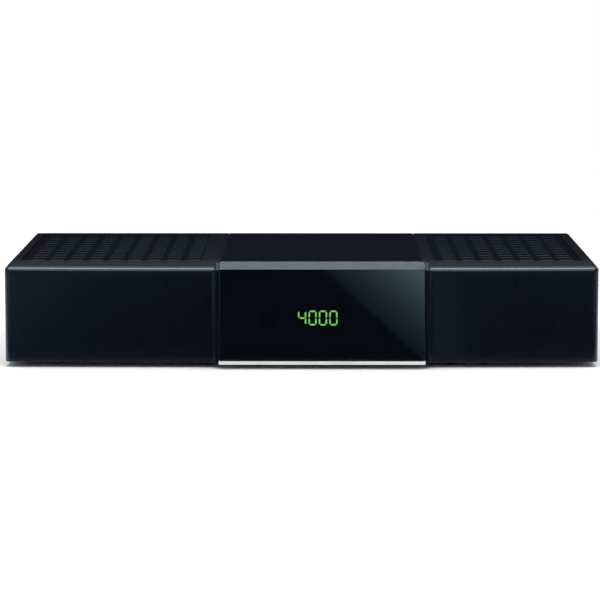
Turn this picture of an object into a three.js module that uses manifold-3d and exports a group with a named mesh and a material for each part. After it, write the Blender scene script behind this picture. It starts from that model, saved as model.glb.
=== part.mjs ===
// A compact satellite television receiver with its boards, sockets and power rocker.
// Millimetres, +Z up, the front towards -Y. X is 0 in the middle of the case.
// While the pieces are made, Y is 0 at the foremost line of the wings and grows to the back.
// The whole group then moves so that its origin is the middle of its box, on the table.
import * as THREE from 'three';
import { mergeGeometries, mergeVertices } from 'three/addons/utils/BufferGeometryUtils.js';
import Module from 'manifold-3d';

const wasm = await Module();
wasm.setup();

// Clearances that many pieces share
const fitGap = 0.3;
const seamGap = 0.15;
const overrun = 2;

// Case
const caseWidth = 220;
const caseDepth = 120;
const caseHeight = 35.8;
const wallThickness = 2;
const edgeRadius = 1.8;
const cornerRadius = 2.4;
const wingBow = 1.2;
const wingEdgeRadius = 1;

// Slot fields in the top
const fieldFront = 19.8;
const fieldRearMargin = 6;
const leftFieldMargin = 4.1;
const rightFieldMargin = 4.7;
const leftStripWidth = 7.6;
const rightStripWidth = 4.5;
const recessDepth = 0.5;
const slotWidth = 4.9;
const slotBridge = 2.47;
const slotLength = 4.2;
const rowBridge = 4.2;
const slotMargin = 3.5;
const rowMargin = 2.1;
const slopeRun = 0.9;
const bandGrooveWidth = 0.4;
const bandGrooveDepth = 0.3;

// Feet
const footHeight = 2;
const footRadius = 6;
const footRimRadius = 0.6;
const footInsetX = 20;
const footInsetFront = 24;
const footInsetRear = 20;

// Front window, its frame and the silver strip
const windowCentreX = 7.6;
const windowWidth = 75.5;
const windowThickness = 3;
const windowProud = 4.8;
const windowTopDrop = 0.5;
const windowBottomRise = 1.45;
const windowChamfer = 2.6;
const lipReach = 2;
const lipThickness = 2.9;
const cheekWidth = 1.8;
const cheekProud = 2.6;
const cheekRise = 1.45;
const cheekRadius = 1;
const notchDepth = 2.6;
const trimOverhang = 0.4;
const trimDrop = 0.25;
const trimProud = 5;
const trimChamfer = 0.4;

// Display behind the window
const digitCount = 4;
const digitHeight = 5.7;
const digitWidth = 3.1;
const digitPitch = 3.85;
const digitStroke = 0.65;
const digitSplit = 0.2;
const digitCentreX = 6;
const digitCentreRise = 16.76;
const segmentRelief = 0.3;
const facePlate = 0.4;
const moduleWidth = 19;
const moduleHeight = 9.6;
const moduleDepth = 4.3;
const displayBoardInset = 6.75;
const displayBoardHeight = 22;
const displayBoardThickness = 1.6;
const displayPostRadius = 2.6;
const displayPostInset = 4;
const irOffsetX = 18;
const irWidth = 6;
const irHeight = 6.6;
const irDomeRadius = 2.2;

// Base
const floorThickness = 2;
const baseBossHeight = 3;
const baseBossRadius = 4.4;
const counterboreDepth = 2.4;
const postRadius = 2.8;
const postInsetX = 12;
const postInsetFront = 11;
const rearPostClearance = 1.8;
const floorSlotWidth = 2.4;
const floorSlotLength = 26;
const floorSlotPitch = 6;
const floorSlotCount = 12;
const panelGrooveDepth = 1.2;

// Rear panel
const panelThickness = 1.2;
const panelInset = 0.6;
const cornerBlock = 6.2;
const cornerBlockLength = 7;

// Screws
const screwRadius = 1.2;
const screwHeadRadius = 2.5;
const screwHeadHeight = 1.5;
const driveWidth = 0.7;
const driveDepth = 0.8;
const baseScrewLength = 12;
const boardScrewLength = 5;
const panelScrewLength = 5;
const displayScrewLength = 3.6;

// Main board
const boardSideGap = 5.6;
const boardDepth = 82;
const boardThickness = 1.6;
const boardPostHeight = 4;
const boardPostRadius = 3;
const boardHoleInset = 5;
const boardToPanel = 0.9;

// Tuner and its threaded connector
const tunerWidth = 28;
const tunerDepth = 44;
const tunerHeight = 14;
const tunerPanelGap = 0.6;
const tunerRib = 0.6;
const aerialRadius = 4.7;
const aerialReach = 9;
const aerialBore = 1.1;
const aerialMouthRadius = 3.6;
const aerialMouthDepth = 1.4;
const threadDepth = 0.4;
const threadPitch = 1.3;
const washerRadius = 6.6;
const washerThickness = 0.6;
const nutAcrossCorners = 12.6;
const nutThickness = 2;

// Sockets on the board's rear edge, spread evenly between two side margins
const rowLeftMargin = 23.5;
const rowRightMargin = 18.5;

const audioBlockWidth = 10.5;
const audioBlockHeight = 13;
const audioBlockDepth = 11;
const audioAxisRise = 8;
const audioBarrelRadius = 4.15;
const audioCoreRadius = 3.1;
const audioBoreRadius = 1.6;
const audioReach = 8;
const audioFlangeRadius = 5.6;
const audioFlangeThickness = 1;

const avWidth = 47;
const avHeight = 15.6;
const avBlockDepth = 15;
const avFlangeProud = 1;
const avMouthWidth = 41.5;
const avMouthHeight = 11.4;
const avMouthDepth = 9;
const avMouthSlant = 5;
const avShieldGap = 1.3;
const avContactWidth = 1;
const avContactHeight = 2.6;
const avContactPitch = 3.6;
const avContactRowRise = 2.3;

const videoWidth = 15;
const videoHeight = 6;
const videoBlockDepth = 11;
const videoWall = 0.5;
const videoTaper = 1.4;
const videoMouthDepth = 8;
const videoTongueThickness = 0.8;
const videoTongueInset = 1.6;

const dataWidth = 13.6;
const dataHeight = 6.6;
const dataBlockDepth = 14;
const dataWall = 0.5;
const dataMouthDepth = 11;
const dataTongueThickness = 1.8;
const dataTongueInset = 0.8;
const socketProud = 0.8;

const inletWidth = 9;
const inletHeight = 11;
const inletDepth = 14;
const inletBore = 3.1;
const inletPin = 1;
const inletBoreDepth = 9;
const inletAxisRise = 6.2;

// Power switch
const switchCentreRise = 18;
const switchFlangeWidth = 15;
const switchFlangeHeight = 21;
const switchFlangeThickness = 1.6;
const switchFlangeRadius = 1.2;
const switchBodyWidth = 13;
const switchBodyHeight = 19;
const switchBodyDepth = 13;
const switchWall = 1.1;
const switchCavityDepth = 9;
const terminalWidth = 4.8;
const terminalThickness = 0.8;
const terminalLength = 7;
const terminalPitch = 9;
const rockerGap = 0.7;
const rockerEndRise = 4.1;
const rockerMiddleRise = 2.3;
const rockerTailDepth = 3.4;
const rockerTailWidth = 6;
const rockerSkirt = 1.2;
const rockerPinRadius = 1.2;
const rockerPinGap = 0.15;
const rockerPinLength = 0.8;
const rockerPivotDepth = 2.4;
const rockerTiltDegrees = 8;

// Parts on the main board
const processorSize = 23;
const processorHeight = 1.8;
const sinkSize = 30;
const sinkBase = 2;
const sinkHeight = 11;
const sinkFin = 1.2;
const sinkFinPitch = 4;
const memoryWidth = 9;
const memoryDepth = 13;
const memoryHeight = 1.1;
const memorySpacing = 14;
const flashWidth = 14;
const flashDepth = 9;
const chipBevel = 0.25;
const crystalWidth = 11;
const crystalDepth = 4.6;
const crystalHeight = 3.4;
const largeCapRadius = 5;
const largeCapHeight = 16;
const smallCapRadius = 3.2;
const smallCapHeight = 10;
const capRollRadius = 0.6;
const inductorSize = 9;
const inductorHeight = 4.6;
const inductorWell = 0.8;
const headerWidth = 17;
const headerDepth = 5;
const headerHeight = 5;
const headerOffsetX = -20;
const headerFrontInset = 3;
const ribbonWidth = 14;
const ribbonThickness = 0.5;
const ribbonSteps = 14;
const displayHeaderDrop = 6.6;

// Shares of the sizes that they follow
const ribbonPullShare = 0.55;
const chipCornerShare = 0.12;
const processorPlaceShares = [0.54, 0.44];
const memoryPlaceShares = [0.7, 0.44];
const flashPlaceShares = [0.56, 0.14];
const crystalPlaceShares = [0.33, 0.14];
const largeCapPlacesShares = [[0.78, 0.14], [0.89, 0.14]];
const smallCapPlacesShares = [[0.79, 0.32], [0.9, 0.34], [0.36, 0.34]];
const inductorPlacesShares = [[0.81, 0.5], [0.91, 0.48]];

// Fineness of round stretches
const roundSides = 24;
const smallSides = 12;
const curveSteps = 4;

// Levels and faces worked out from the sizes above
const caseBottom = footHeight;
const caseTop = caseBottom + caseHeight;
const innerTop = caseTop - wallThickness;
const halfWidth = caseWidth / 2;
const floorTop = caseBottom + floorThickness;
const panelRear = caseDepth - panelInset;
const panelFront = panelRear - panelThickness;
const panelTop = innerTop - fitGap;
const windowLeft = windowCentreX - windowWidth / 2;
const windowRight = windowCentreX + windowWidth / 2;
const windowBottom = caseBottom + windowBottomRise;
const windowTop = caseTop - windowTopDrop;
const windowBack = windowThickness - windowProud;
const lipTop = windowTop + windowChamfer;
const frameLeft = windowLeft - cheekWidth;
const frameRight = windowRight + cheekWidth;
const frameBack = notchDepth - fitGap;
const postX = halfWidth - postInsetX;
const boardWidth = 2 * (postX - baseBossRadius - boardSideGap);
const boardRear = panelFront - boardToPanel;
const boardFront = boardRear - boardDepth;
const boardBottom = floorTop + boardPostHeight;
const boardTop = boardBottom + boardThickness;
const pilotRadius = screwRadius + fitGap;
const aerialRear = panelRear + aerialReach;

// What stands along the rear, from left to right, and the gap that is left between neighbours
const rearRow = {
  tuner: tunerWidth,
  audio: 2 * audioFlangeRadius,
  av: avWidth,
  video: videoWidth,
  data: dataWidth,
  inlet: inletWidth,
  power: switchFlangeWidth,
};
const rearWidths = Object.values(rearRow);
const rowSpan = caseWidth - rowLeftMargin - rowRightMargin;
const rowGap = (rowSpan - rearWidths.reduce((sum, width) => sum + width, 0))
  / (rearWidths.length - 1);

function rearCentre(piece) {
  let left = rowLeftMargin - halfWidth;
  for (const [name, width] of Object.entries(rearRow)) {
    if (name === piece) return left + width / 2;
    left += width + rowGap;
  }
  return left;
}

const tunerCentreX = rearCentre('tuner');
const audioCentreX = rearCentre('audio');
const avCentreX = rearCentre('av');
const videoCentreX = rearCentre('video');
const dataCentreX = rearCentre('data');
const inletCentreX = rearCentre('inlet');
const switchCentreX = rearCentre('power');

// A place on the main board by its shares of the board's width and depth
function boardPlace([acrossShare, backShare]) {
  return [(acrossShare - 1 / 2) * boardWidth, boardFront + backShare * boardDepth];
}

const [processorX, processorY] = boardPlace(processorPlaceShares);

// Geometry helpers
function signedVolume(positions, corners) {
  const a = new THREE.Vector3();
  const b = new THREE.Vector3();
  const c = new THREE.Vector3();
  let sum = 0;
  for (let i = 0; i < corners.length; i += 3) {
    a.fromArray(positions, corners[i] * 3);
    b.fromArray(positions, corners[i + 1] * 3);
    c.fromArray(positions, corners[i + 2] * 3);
    sum += a.dot(b.cross(c));
  }
  return sum;
}

// A closed geometry as a solid that can be joined and cut
function solid(geometry) {
  const bare = geometry.clone();
  bare.deleteAttribute('normal');
  bare.deleteAttribute('uv');
  const merged = mergeVertices(bare);
  const corners = [];
  const index = merged.index.array;
  for (let i = 0; i < index.length; i += 3) {
    const [a, b, c] = [index[i], index[i + 1], index[i + 2]];
    if (a !== b && b !== c && c !== a) corners.push(a, b, c);
  }
  const positions = merged.attributes.position.array;
  if (signedVolume(positions, corners) < 0) corners.reverse();
  return new wasm.Manifold(new wasm.Mesh({
    numProp: 3,
    vertProperties: new Float32Array(positions),
    triVerts: new Uint32Array(corners),
  }));
}

function join(first, ...others) {
  return others.reduce((whole, piece) => whole.add(piece), first);
}

function cut(first, ...tools) {
  return tools.reduce((whole, tool) => whole.subtract(tool), first);
}

function block(x0, x1, y0, y1, z0, z1) {
  const box = new THREE.BoxGeometry(x1 - x0, y1 - y0, z1 - z0);
  return solid(box.translate((x0 + x1) / 2, (y0 + y1) / 2, (z0 + z1) / 2));
}

function uprightRod(x, y, radius, z0, z1, sides = smallSides) {
  const rod = new THREE.CylinderGeometry(radius, radius, z1 - z0, sides);
  return solid(rod.rotateX(Math.PI / 2).translate(x, y, (z0 + z1) / 2));
}

function levelRod(x, z, radius, y0, y1, sides = smallSides) {
  const rod = new THREE.CylinderGeometry(radius, radius, y1 - y0, sides);
  return solid(rod.translate(x, (y0 + y1) / 2, z));
}

function crossRod(y, z, radius, x0, x1, sides = smallSides) {
  const rod = new THREE.CylinderGeometry(radius, radius, x1 - x0, sides);
  return solid(rod.rotateZ(Math.PI / 2).translate((x0 + x1) / 2, y, z));
}

// An outline in X and Y, extruded from z0 to z1
function extrudeUp(shape, z0, z1, steps = curveSteps) {
  const options = { depth: z1 - z0, bevelEnabled: false, curveSegments: steps };
  return new THREE.ExtrudeGeometry(shape, options).translate(0, 0, z0);
}

// An outline in Y and Z, extruded from x0 to x1
function extrudeAcross(shape, x0, x1) {
  const turn = new THREE.Matrix4().makeBasis(
    new THREE.Vector3(0, 1, 0), new THREE.Vector3(0, 0, 1), new THREE.Vector3(1, 0, 0),
  );
  return extrudeUp(shape, 0, x1 - x0).applyMatrix4(turn).translate(x0, 0, 0);
}

// An outline in X and Z, extruded from y0 to y1
function extrudeBack(shape, y0, y1) {
  return extrudeUp(shape, 0, y1 - y0).rotateX(Math.PI / 2).translate(0, y1, 0);
}

function outline(points) {
  return new THREE.Shape(points.map(([a, b]) => new THREE.Vector2(a, b)));
}

function roundedOutline(a0, a1, b0, b1, radius) {
  const quarter = Math.PI / 2;
  const shape = new THREE.Shape();
  shape.absarc(a1 - radius, b1 - radius, radius, 0, quarter);
  shape.absarc(a0 + radius, b1 - radius, radius, quarter, 2 * quarter);
  shape.absarc(a0 + radius, b0 + radius, radius, 2 * quarter, 3 * quarter);
  shape.absarc(a1 - radius, b0 + radius, radius, 3 * quarter, 4 * quarter);
  return shape;
}

// A profile of radius and height, turned about the upright axis through x and y
function turnedUpright(profile, x, y, sides = roundSides) {
  const points = profile.map(([radius, height]) => new THREE.Vector2(radius, height));
  return solid(new THREE.LatheGeometry(points, sides).rotateX(Math.PI / 2).translate(x, y, 0));
}

// A profile of radius and Y, turned about the level axis through x and z
function turnedLevel(profile, x, z, sides = roundSides) {
  const points = profile.map(([radius, along]) => new THREE.Vector2(radius, along));
  return solid(new THREE.LatheGeometry(points, sides).translate(x, 0, z));
}

// Finishes
function finish(colour, roughness, metalness = 0) {
  return new THREE.MeshStandardMaterial({ color: colour, roughness, metalness });
}

const finishes = {
  housing: finish(0x14181c, 0.5),
  frame: finish(0x101317, 0.3),
  window: finish(0x07090c, 0.05),
  silver: finish(0xd4dfe1, 0.3, 0.9),
  display: finish(0x08090a, 0.5),
  digits: finish(0x8ce16e, 0.5),
  blackPlastic: finish(0x0c0d0f, 0.5),
  whitePlastic: finish(0xd9d6c8, 0.6),
  orangePlastic: finish(0xd96a1c, 0.45),
  board: finish(0x1f5a34, 0.5),
  chip: finish(0x1a1a1c, 0.6),
  tinned: finish(0xb9bcbd, 0.35, 1),
  aluminium: finish(0xa9abad, 0.4, 1),
  sleeve: finish(0x1d2440, 0.4),
  ferrite: finish(0x35363a, 0.7),
  cable: finish(0xcfd1cd, 0.5),
  paintedSheet: finish(0x101113, 0.5, 0.3),
  screw: finish(0x3a3b3d, 0.4, 1),
  rubber: finish(0x15161a, 0.9),
};

const receiver = new THREE.Group();

function addPiece(name, piece, material) {
  const source = piece.getMesh();
  const geometry = new THREE.BufferGeometry();
  geometry.setAttribute('position', new THREE.BufferAttribute(source.vertProperties, 3));
  geometry.setIndex(new THREE.BufferAttribute(source.triVerts, 1));
  geometry.computeVertexNormals();
  const mesh = new THREE.Mesh(geometry, material);
  mesh.name = name;
  receiver.add(mesh);
  return mesh;
}

const letter = (index) => String.fromCharCode('a'.charCodeAt(0) + index);

// How far the front line of the case falls back at x
function frontFall(x) {
  const leftRun = frameLeft + halfWidth;
  const rightRun = halfWidth - frameRight;
  const leftShare = Math.max(0, (frameLeft - x) / leftRun);
  const rightShare = Math.max(0, (x - frameRight) / rightRun);
  return wingBow * Math.max(leftShare, rightShare) ** 2;
}

// The case's outline seen from above, drawn in by an inset, run out past the rear
function caseOutline(inset, radius, rear) {
  const side = halfWidth - inset;
  const front = inset + wingBow;
  const quarter = Math.PI / 2;
  const shape = new THREE.Shape();
  shape.moveTo(side, rear);
  shape.lineTo(-side, rear);
  shape.absarc(radius - side, front + radius, radius, 2 * quarter, 3 * quarter);
  const leftRun = frameLeft + side - radius;
  const rightRun = side - radius - frameRight;
  for (let i = 1; i <= 2 * curveSteps; i += 1) {
    const x = radius - side + (leftRun * i) / (2 * curveSteps);
    shape.lineTo(x, inset + frontFall(x));
  }
  for (let i = 0; i < 2 * curveSteps; i += 1) {
    const x = frameRight + (rightRun * i) / (2 * curveSteps);
    shape.lineTo(x, inset + frontFall(x));
  }
  shape.absarc(side - radius, front + radius, radius, 3 * quarter, 4 * quarter);
  return shape;
}

// Where the case's screw posts stand
const rearPostY = panelFront - rearPostClearance - postRadius;
const postPlaces = [
  [-postX, postInsetFront], [postX, postInsetFront], [-postX, rearPostY], [postX, rearPostY],
];
const postBottom = floorTop + baseBossHeight;

// Where the rear panel's two screws go
const panelScrewX = halfWidth - wallThickness - cornerBlock / 2;
const panelScrewZ = innerTop - cornerBlock / 2;

// The cutters for one field of slots, from x0 to x1
function slotCutters(x0, x1) {
  const floor = caseTop - recessDepth;
  const rear = caseDepth - fieldRearMargin;
  const pitchX = slotWidth + slotBridge;
  const pitchY = slotLength + rowBridge;
  const columns = Math.floor((x1 - x0 - slotMargin + slotBridge) / pitchX);
  const rows = Math.floor((rear - fieldFront - rowMargin + rowBridge) / pitchY);
  const slots = [];
  for (let row = 0; row < rows; row += 1) {
    const near = fieldFront + rowMargin + row * pitchY;
    const far = near + slotLength;
    const profile = outline([
      [near, innerTop - overrun], [far - slopeRun, innerTop - overrun],
      [far - slopeRun, floor - slopeRun], [far, floor],
      [far, caseTop + overrun], [near, caseTop + overrun],
    ]);
    for (let column = 0; column < columns; column += 1) {
      const left = x0 + slotMargin + column * pitchX;
      slots.push(extrudeAcross(profile, left, left + slotWidth));
    }
  }
  const recess = block(x0, x1, fieldFront, rear, floor, caseTop + overrun);
  return [recess, solid(mergeGeometries(slots))];
}

// The gap between the wings, with the wings' inner edges rounded
function notchCutter() {
  const quarter = Math.PI / 2;
  const left = frameLeft - fitGap;
  const right = frameRight + fitGap;
  const shape = new THREE.Shape();
  shape.moveTo(left - wingEdgeRadius, -overrun);
  shape.absarc(left - wingEdgeRadius, wingEdgeRadius, wingEdgeRadius, 3 * quarter, 4 * quarter);
  shape.lineTo(left, notchDepth);
  shape.lineTo(right, notchDepth);
  shape.absarc(right + wingEdgeRadius, wingEdgeRadius, wingEdgeRadius, 2 * quarter, 3 * quarter);
  shape.lineTo(right + wingEdgeRadius, -overrun);
  return solid(extrudeUp(shape, caseBottom - overrun, caseTop + overrun));
}

function makeUpperHousing() {
  const past = caseDepth + cornerRadius + edgeRadius;
  const body = new THREE.ExtrudeGeometry(caseOutline(0, cornerRadius, past), {
    depth: caseHeight - edgeRadius,
    bevelEnabled: true,
    bevelThickness: edgeRadius,
    bevelSize: edgeRadius,
    bevelOffset: -edgeRadius,
    bevelSegments: curveSteps,
    curveSegments: curveSteps,
  }).translate(0, 0, caseBottom);
  const far = caseWidth + past;
  const cavityRadius = Math.max(cornerRadius - wallThickness, seamGap);
  const cavity = extrudeUp(
    caseOutline(wallThickness, cavityRadius, past + overrun), caseBottom - far, innerTop,
  );
  let shell = cut(
    solid(body),
    block(-far, far, -far, far, caseBottom - far, caseBottom),
    block(-far, far, caseDepth, far, caseBottom - far, caseTop + far),
    solid(cavity),
  );
  for (const [x, y] of postPlaces) {
    shell = shell.add(uprightRod(x, y, postRadius, postBottom, innerTop + overrun / 4));
  }
  for (const side of [-1, 1]) {
    const wall = side * (halfWidth - wallThickness);
    const edges = [wall + (side * wallThickness) / 2, wall - side * cornerBlock];
    shell = shell.add(block(
      Math.min(...edges), Math.max(...edges),
      panelFront - cornerBlockLength, panelFront,
      innerTop - cornerBlock, innerTop + wallThickness / 2,
    ));
  }
  const pilots = postPlaces.map(([x, y]) => (
    uprightRod(x, y, pilotRadius, postBottom - overrun, postBottom + baseScrewLength)
  ));
  const panelPilots = [-1, 1].map((side) => levelRod(
    side * panelScrewX, panelScrewZ, pilotRadius,
    panelFront - panelScrewLength, panelFront + overrun,
  ));
  const leftEdge = windowLeft - leftStripWidth;
  const rightEdge = windowRight + rightStripWidth;
  const grooves = [windowLeft, windowRight].map((x) => block(
    x - bandGrooveWidth / 2, x + bandGrooveWidth / 2, 0, caseDepth + overrun,
    caseTop - bandGrooveDepth, caseTop + overrun,
  ));
  return cut(
    shell, ...pilots, ...panelPilots, notchCutter(), ...grooves,
    ...slotCutters(leftFieldMargin - halfWidth, leftEdge),
    ...slotCutters(rightEdge, halfWidth - rightFieldMargin),
  );
}

// Where the main board's four screws go: near its front corners and just ahead of the tuner
const boardHoleX = boardWidth / 2 - boardHoleInset;
const boardHoleY = [boardFront + boardHoleInset, boardRear - tunerDepth - boardHoleInset];
const boardHoles = [
  [-boardHoleX, boardHoleY[0]], [boardHoleX, boardHoleY[0]],
  [-boardHoleX, boardHoleY[1]], [boardHoleX, boardHoleY[1]],
];

const footPlaces = [
  [footInsetX - halfWidth, footInsetFront], [halfWidth - footInsetX, footInsetFront],
  [footInsetX - halfWidth, caseDepth - footInsetRear],
  [halfWidth - footInsetX, caseDepth - footInsetRear],
];

function makeBase() {
  const side = halfWidth - wallThickness - fitGap;
  const front = wallThickness + wingBow + fitGap;
  let base = block(-side, side, front, caseDepth, caseBottom, floorTop);
  for (const [x, y] of postPlaces) {
    const boss = uprightRod(x, y, baseBossRadius, floorTop - floorThickness / 2, postBottom);
    const hole = uprightRod(x, y, pilotRadius, caseBottom - overrun, postBottom + overrun);
    const sink = uprightRod(
      x, y, screwHeadRadius + fitGap, caseBottom - overrun, caseBottom + counterboreDepth,
    );
    base = cut(base.add(boss), hole, sink);
  }
  for (const [x, y] of boardHoles) {
    const post = uprightRod(x, y, boardPostRadius, floorTop - floorThickness / 2, boardBottom);
    const pilot = uprightRod(
      x, y, pilotRadius, boardTop - boardScrewLength - fitGap, boardBottom + overrun,
    );
    base = cut(base.add(post), pilot);
  }
  const slots = [];
  const firstSlot = processorX - ((floorSlotCount - 1) * floorSlotPitch) / 2;
  for (let i = 0; i < floorSlotCount; i += 1) {
    const x = firstSlot + i * floorSlotPitch;
    slots.push(extrudeUp(roundedOutline(
      x - floorSlotWidth / 2, x + floorSlotWidth / 2,
      processorY - floorSlotLength / 2, processorY + floorSlotLength / 2,
      floorSlotWidth / 2 - seamGap,
    ), caseBottom - overrun, floorTop + overrun, 1));
  }
  const groove = block(
    -side - overrun, side + overrun, panelFront - fitGap, panelRear + fitGap,
    floorTop - panelGrooveDepth, floorTop + overrun,
  );
  return cut(base, solid(mergeGeometries(slots)), groove);
}

// A pan-head screw whose shank points down from its seat, made at the origin
function screwAtOrigin(length) {
  const shankTip = -length;
  const body = turnedUpright([
    [0, shankTip], [screwRadius / 2, shankTip], [screwRadius, shankTip + screwRadius],
    [screwRadius, 0], [screwHeadRadius, 0], [screwHeadRadius, screwHeadHeight / 2],
    [screwHeadRadius - screwHeadHeight / 2, screwHeadHeight], [0, screwHeadHeight],
  ], 0, 0, smallSides);
  const reach = screwHeadRadius - screwHeadHeight / 2;
  const top = screwHeadHeight + overrun;
  const bottom = screwHeadHeight - driveDepth;
  const half = driveWidth / 2;
  return cut(
    body,
    block(-reach, reach, -half, half, bottom, top),
    block(-half, half, -reach, reach, bottom, top),
  );
}

function addScrew(name, length, place, turn) {
  const mesh = addPiece(name, screwAtOrigin(length), finishes.screw);
  mesh.position.set(...place);
  mesh.rotation.set(turn, 0, 0);
}

// Case, base, feet and their screws
addPiece('upper_housing', makeUpperHousing(), finishes.housing);
addPiece('base_chassis', makeBase(), finishes.blackPlastic);

footPlaces.forEach(([x, y], i) => {
  addPiece(`foot_${letter(i)}`, turnedUpright([
    [0, 0], [footRadius - footRimRadius, 0], [footRadius, footRimRadius],
    [footRadius, footHeight], [0, footHeight],
  ], x, y), finishes.rubber);
});

postPlaces.forEach(([x, y], i) => {
  const seat = caseBottom + counterboreDepth;
  addScrew(`base_screw_${letter(i)}`, baseScrewLength, [x, y, seat], Math.PI);
});

// The four-digit display
const digitMiddle = caseBottom + digitCentreRise;
const segmentFront = windowBack + fitGap;
const plateFront = segmentFront + segmentRelief;
const moduleFront = plateFront + facePlate;
const displayBoardFront = moduleFront + moduleDepth;
const displayBoardBack = displayBoardFront + displayBoardThickness;
const displayLeft = windowLeft + displayBoardInset;
const displayRight = windowRight - displayBoardInset;
const displayBottom = digitMiddle - displayBoardHeight / 2;
const displayTop = digitMiddle + displayBoardHeight / 2;

// One bar of a digit with pointed ends, level or upright, centred on x and z
function segmentBar(x, z, length, upright) {
  const half = length / 2;
  const thick = digitStroke / 2;
  const points = [
    [-half, 0], [thick - half, thick], [half - thick, thick],
    [half, 0], [half - thick, -thick], [thick - half, -thick],
  ];
  const placed = points.map(([a, b]) => (upright ? [x - b, z + a] : [x + a, z + b]));
  return extrudeBack(outline(placed), segmentFront, plateFront + facePlate / 2);
}

function digitBars(x) {
  const level = digitWidth - digitStroke - digitSplit;
  const upright = (digitHeight - digitStroke) / 2 - digitSplit;
  const dx = (digitWidth - digitStroke) / 2;
  const dz = (digitHeight - digitStroke) / 2;
  return [
    segmentBar(x, digitMiddle + dz, level, false),
    segmentBar(x, digitMiddle, level, false),
    segmentBar(x, digitMiddle - dz, level, false),
    segmentBar(x - dx, digitMiddle + dz / 2, upright, true),
    segmentBar(x + dx, digitMiddle + dz / 2, upright, true),
    segmentBar(x - dx, digitMiddle - dz / 2, upright, true),
    segmentBar(x + dx, digitMiddle - dz / 2, upright, true),
  ];
}

function makeSegmentFace() {
  const plate = block(
    digitCentreX - moduleWidth / 2, digitCentreX + moduleWidth / 2, plateFront, moduleFront,
    digitMiddle - moduleHeight / 2, digitMiddle + moduleHeight / 2,
  );
  const bars = [];
  for (let i = 0; i < digitCount; i += 1) {
    bars.push(...digitBars(digitCentreX + (i - (digitCount - 1) / 2) * digitPitch));
  }
  return plate.add(solid(mergeGeometries(bars)));
}

const irCentreX = digitCentreX - irOffsetX;
const displayPosts = [
  [displayLeft + displayPostInset, digitMiddle], [displayRight - displayPostInset, digitMiddle],
];

function makeFrame() {
  const plate = solid(extrudeBack(
    roundedOutline(frameLeft, frameRight, caseBottom, caseTop + cheekRise, cheekRadius),
    -cheekProud, frameBack,
  ));
  const posts = displayPosts.map(([x, z]) => (
    levelRod(x, z, displayPostRadius, frameBack - fitGap, displayBoardFront)
  ));
  const pocketLeft = windowLeft - seamGap;
  const pocketRight = windowRight + seamGap;
  const ahead = -cheekProud - overrun;
  const behind = frameBack + overrun;
  const above = caseTop + cheekRise + overrun;
  const trimTop = windowBottom - seamGap / 2;
  return cut(
    join(plate, ...posts),
    block(pocketLeft, pocketRight, ahead, windowBack, trimTop, above),
    block(pocketLeft, pocketRight, ahead, behind, lipTop - lipThickness - seamGap, above),
    block(
      windowLeft - trimOverhang - seamGap, windowRight + trimOverhang + seamGap,
      ahead, windowBack, caseBottom - overrun, trimTop,
    ),
    block(
      digitCentreX - moduleWidth / 2 - fitGap, digitCentreX + moduleWidth / 2 + fitGap,
      ahead, behind,
      digitMiddle - moduleHeight / 2 - fitGap, digitMiddle + moduleHeight / 2 + fitGap,
    ),
    block(
      irCentreX - irWidth / 2 - fitGap, irCentreX + irWidth / 2 + fitGap, ahead, behind,
      digitMiddle - irHeight / 2 - fitGap, digitMiddle + irHeight / 2 + fitGap,
    ),
    ...displayPosts.map(([x, z]) => levelRod(
      x, z, pilotRadius, displayBoardBack - displayScrewLength - fitGap,
      displayBoardFront + overrun,
    )),
  );
}

addPiece('bezel_frame', makeFrame(), finishes.frame);

addPiece('smoked_window', solid(extrudeAcross(outline([
  [-windowProud, windowBottom], [windowBack, windowBottom],
  [windowBack, lipTop - lipThickness], [lipReach, lipTop - lipThickness],
  [lipReach, lipTop], [windowChamfer - windowProud, lipTop], [-windowProud, windowTop],
]), windowLeft, windowRight)), finishes.window);

const trimBottom = caseBottom - trimDrop;
addPiece('silver_trim', solid(extrudeAcross(outline([
  [-trimProud, trimBottom + trimChamfer], [trimChamfer - trimProud, trimBottom],
  [windowBack, trimBottom], [windowBack, windowBottom - seamGap],
  [-trimProud, windowBottom - seamGap],
]), windowLeft - trimOverhang, windowRight + trimOverhang)), finishes.silver);

addPiece('segment_face', makeSegmentFace(), finishes.digits);
addPiece('digit_module', block(
  digitCentreX - moduleWidth / 2, digitCentreX + moduleWidth / 2, moduleFront, displayBoardFront,
  digitMiddle - moduleHeight / 2, digitMiddle + moduleHeight / 2,
), finishes.display);

addPiece('display_board', cut(
  block(displayLeft, displayRight, displayBoardFront, displayBoardBack, displayBottom, displayTop),
  ...displayPosts.map(([x, z]) => levelRod(
    x, z, pilotRadius, displayBoardFront - overrun, displayBoardBack + overrun,
  )),
), finishes.board);

displayPosts.forEach(([x, z], i) => {
  addScrew(
    `display_screw_${letter(i)}`, displayScrewLength, [x, displayBoardBack, z], -Math.PI / 2,
  );
});

// The remote control's receiver eye
const irDomeFront = windowBack + fitGap;
const irBodyFront = irDomeFront + irDomeRadius;
const irDome = new THREE.SphereGeometry(irDomeRadius, smallSides, smallSides / 2);
addPiece('ir_receiver', join(
  block(
    irCentreX - irWidth / 2, irCentreX + irWidth / 2, irBodyFront, displayBoardFront,
    digitMiddle - irHeight / 2, digitMiddle + irHeight / 2,
  ),
  solid(irDome.translate(irCentreX, irBodyFront, digitMiddle)),
), finishes.display);

// Main board with its screws
addPiece('main_board', cut(
  block(-boardWidth / 2, boardWidth / 2, boardFront, boardRear, boardBottom, boardTop),
  ...boardHoles.map(([x, y]) => (
    uprightRod(x, y, pilotRadius, boardBottom - overrun, boardTop + overrun)
  )),
), finishes.board);
boardHoles.forEach(([x, y], i) => {
  addScrew(`board_screw_${letter(i)}`, boardScrewLength, [x, y, boardTop], 0);
});

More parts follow.
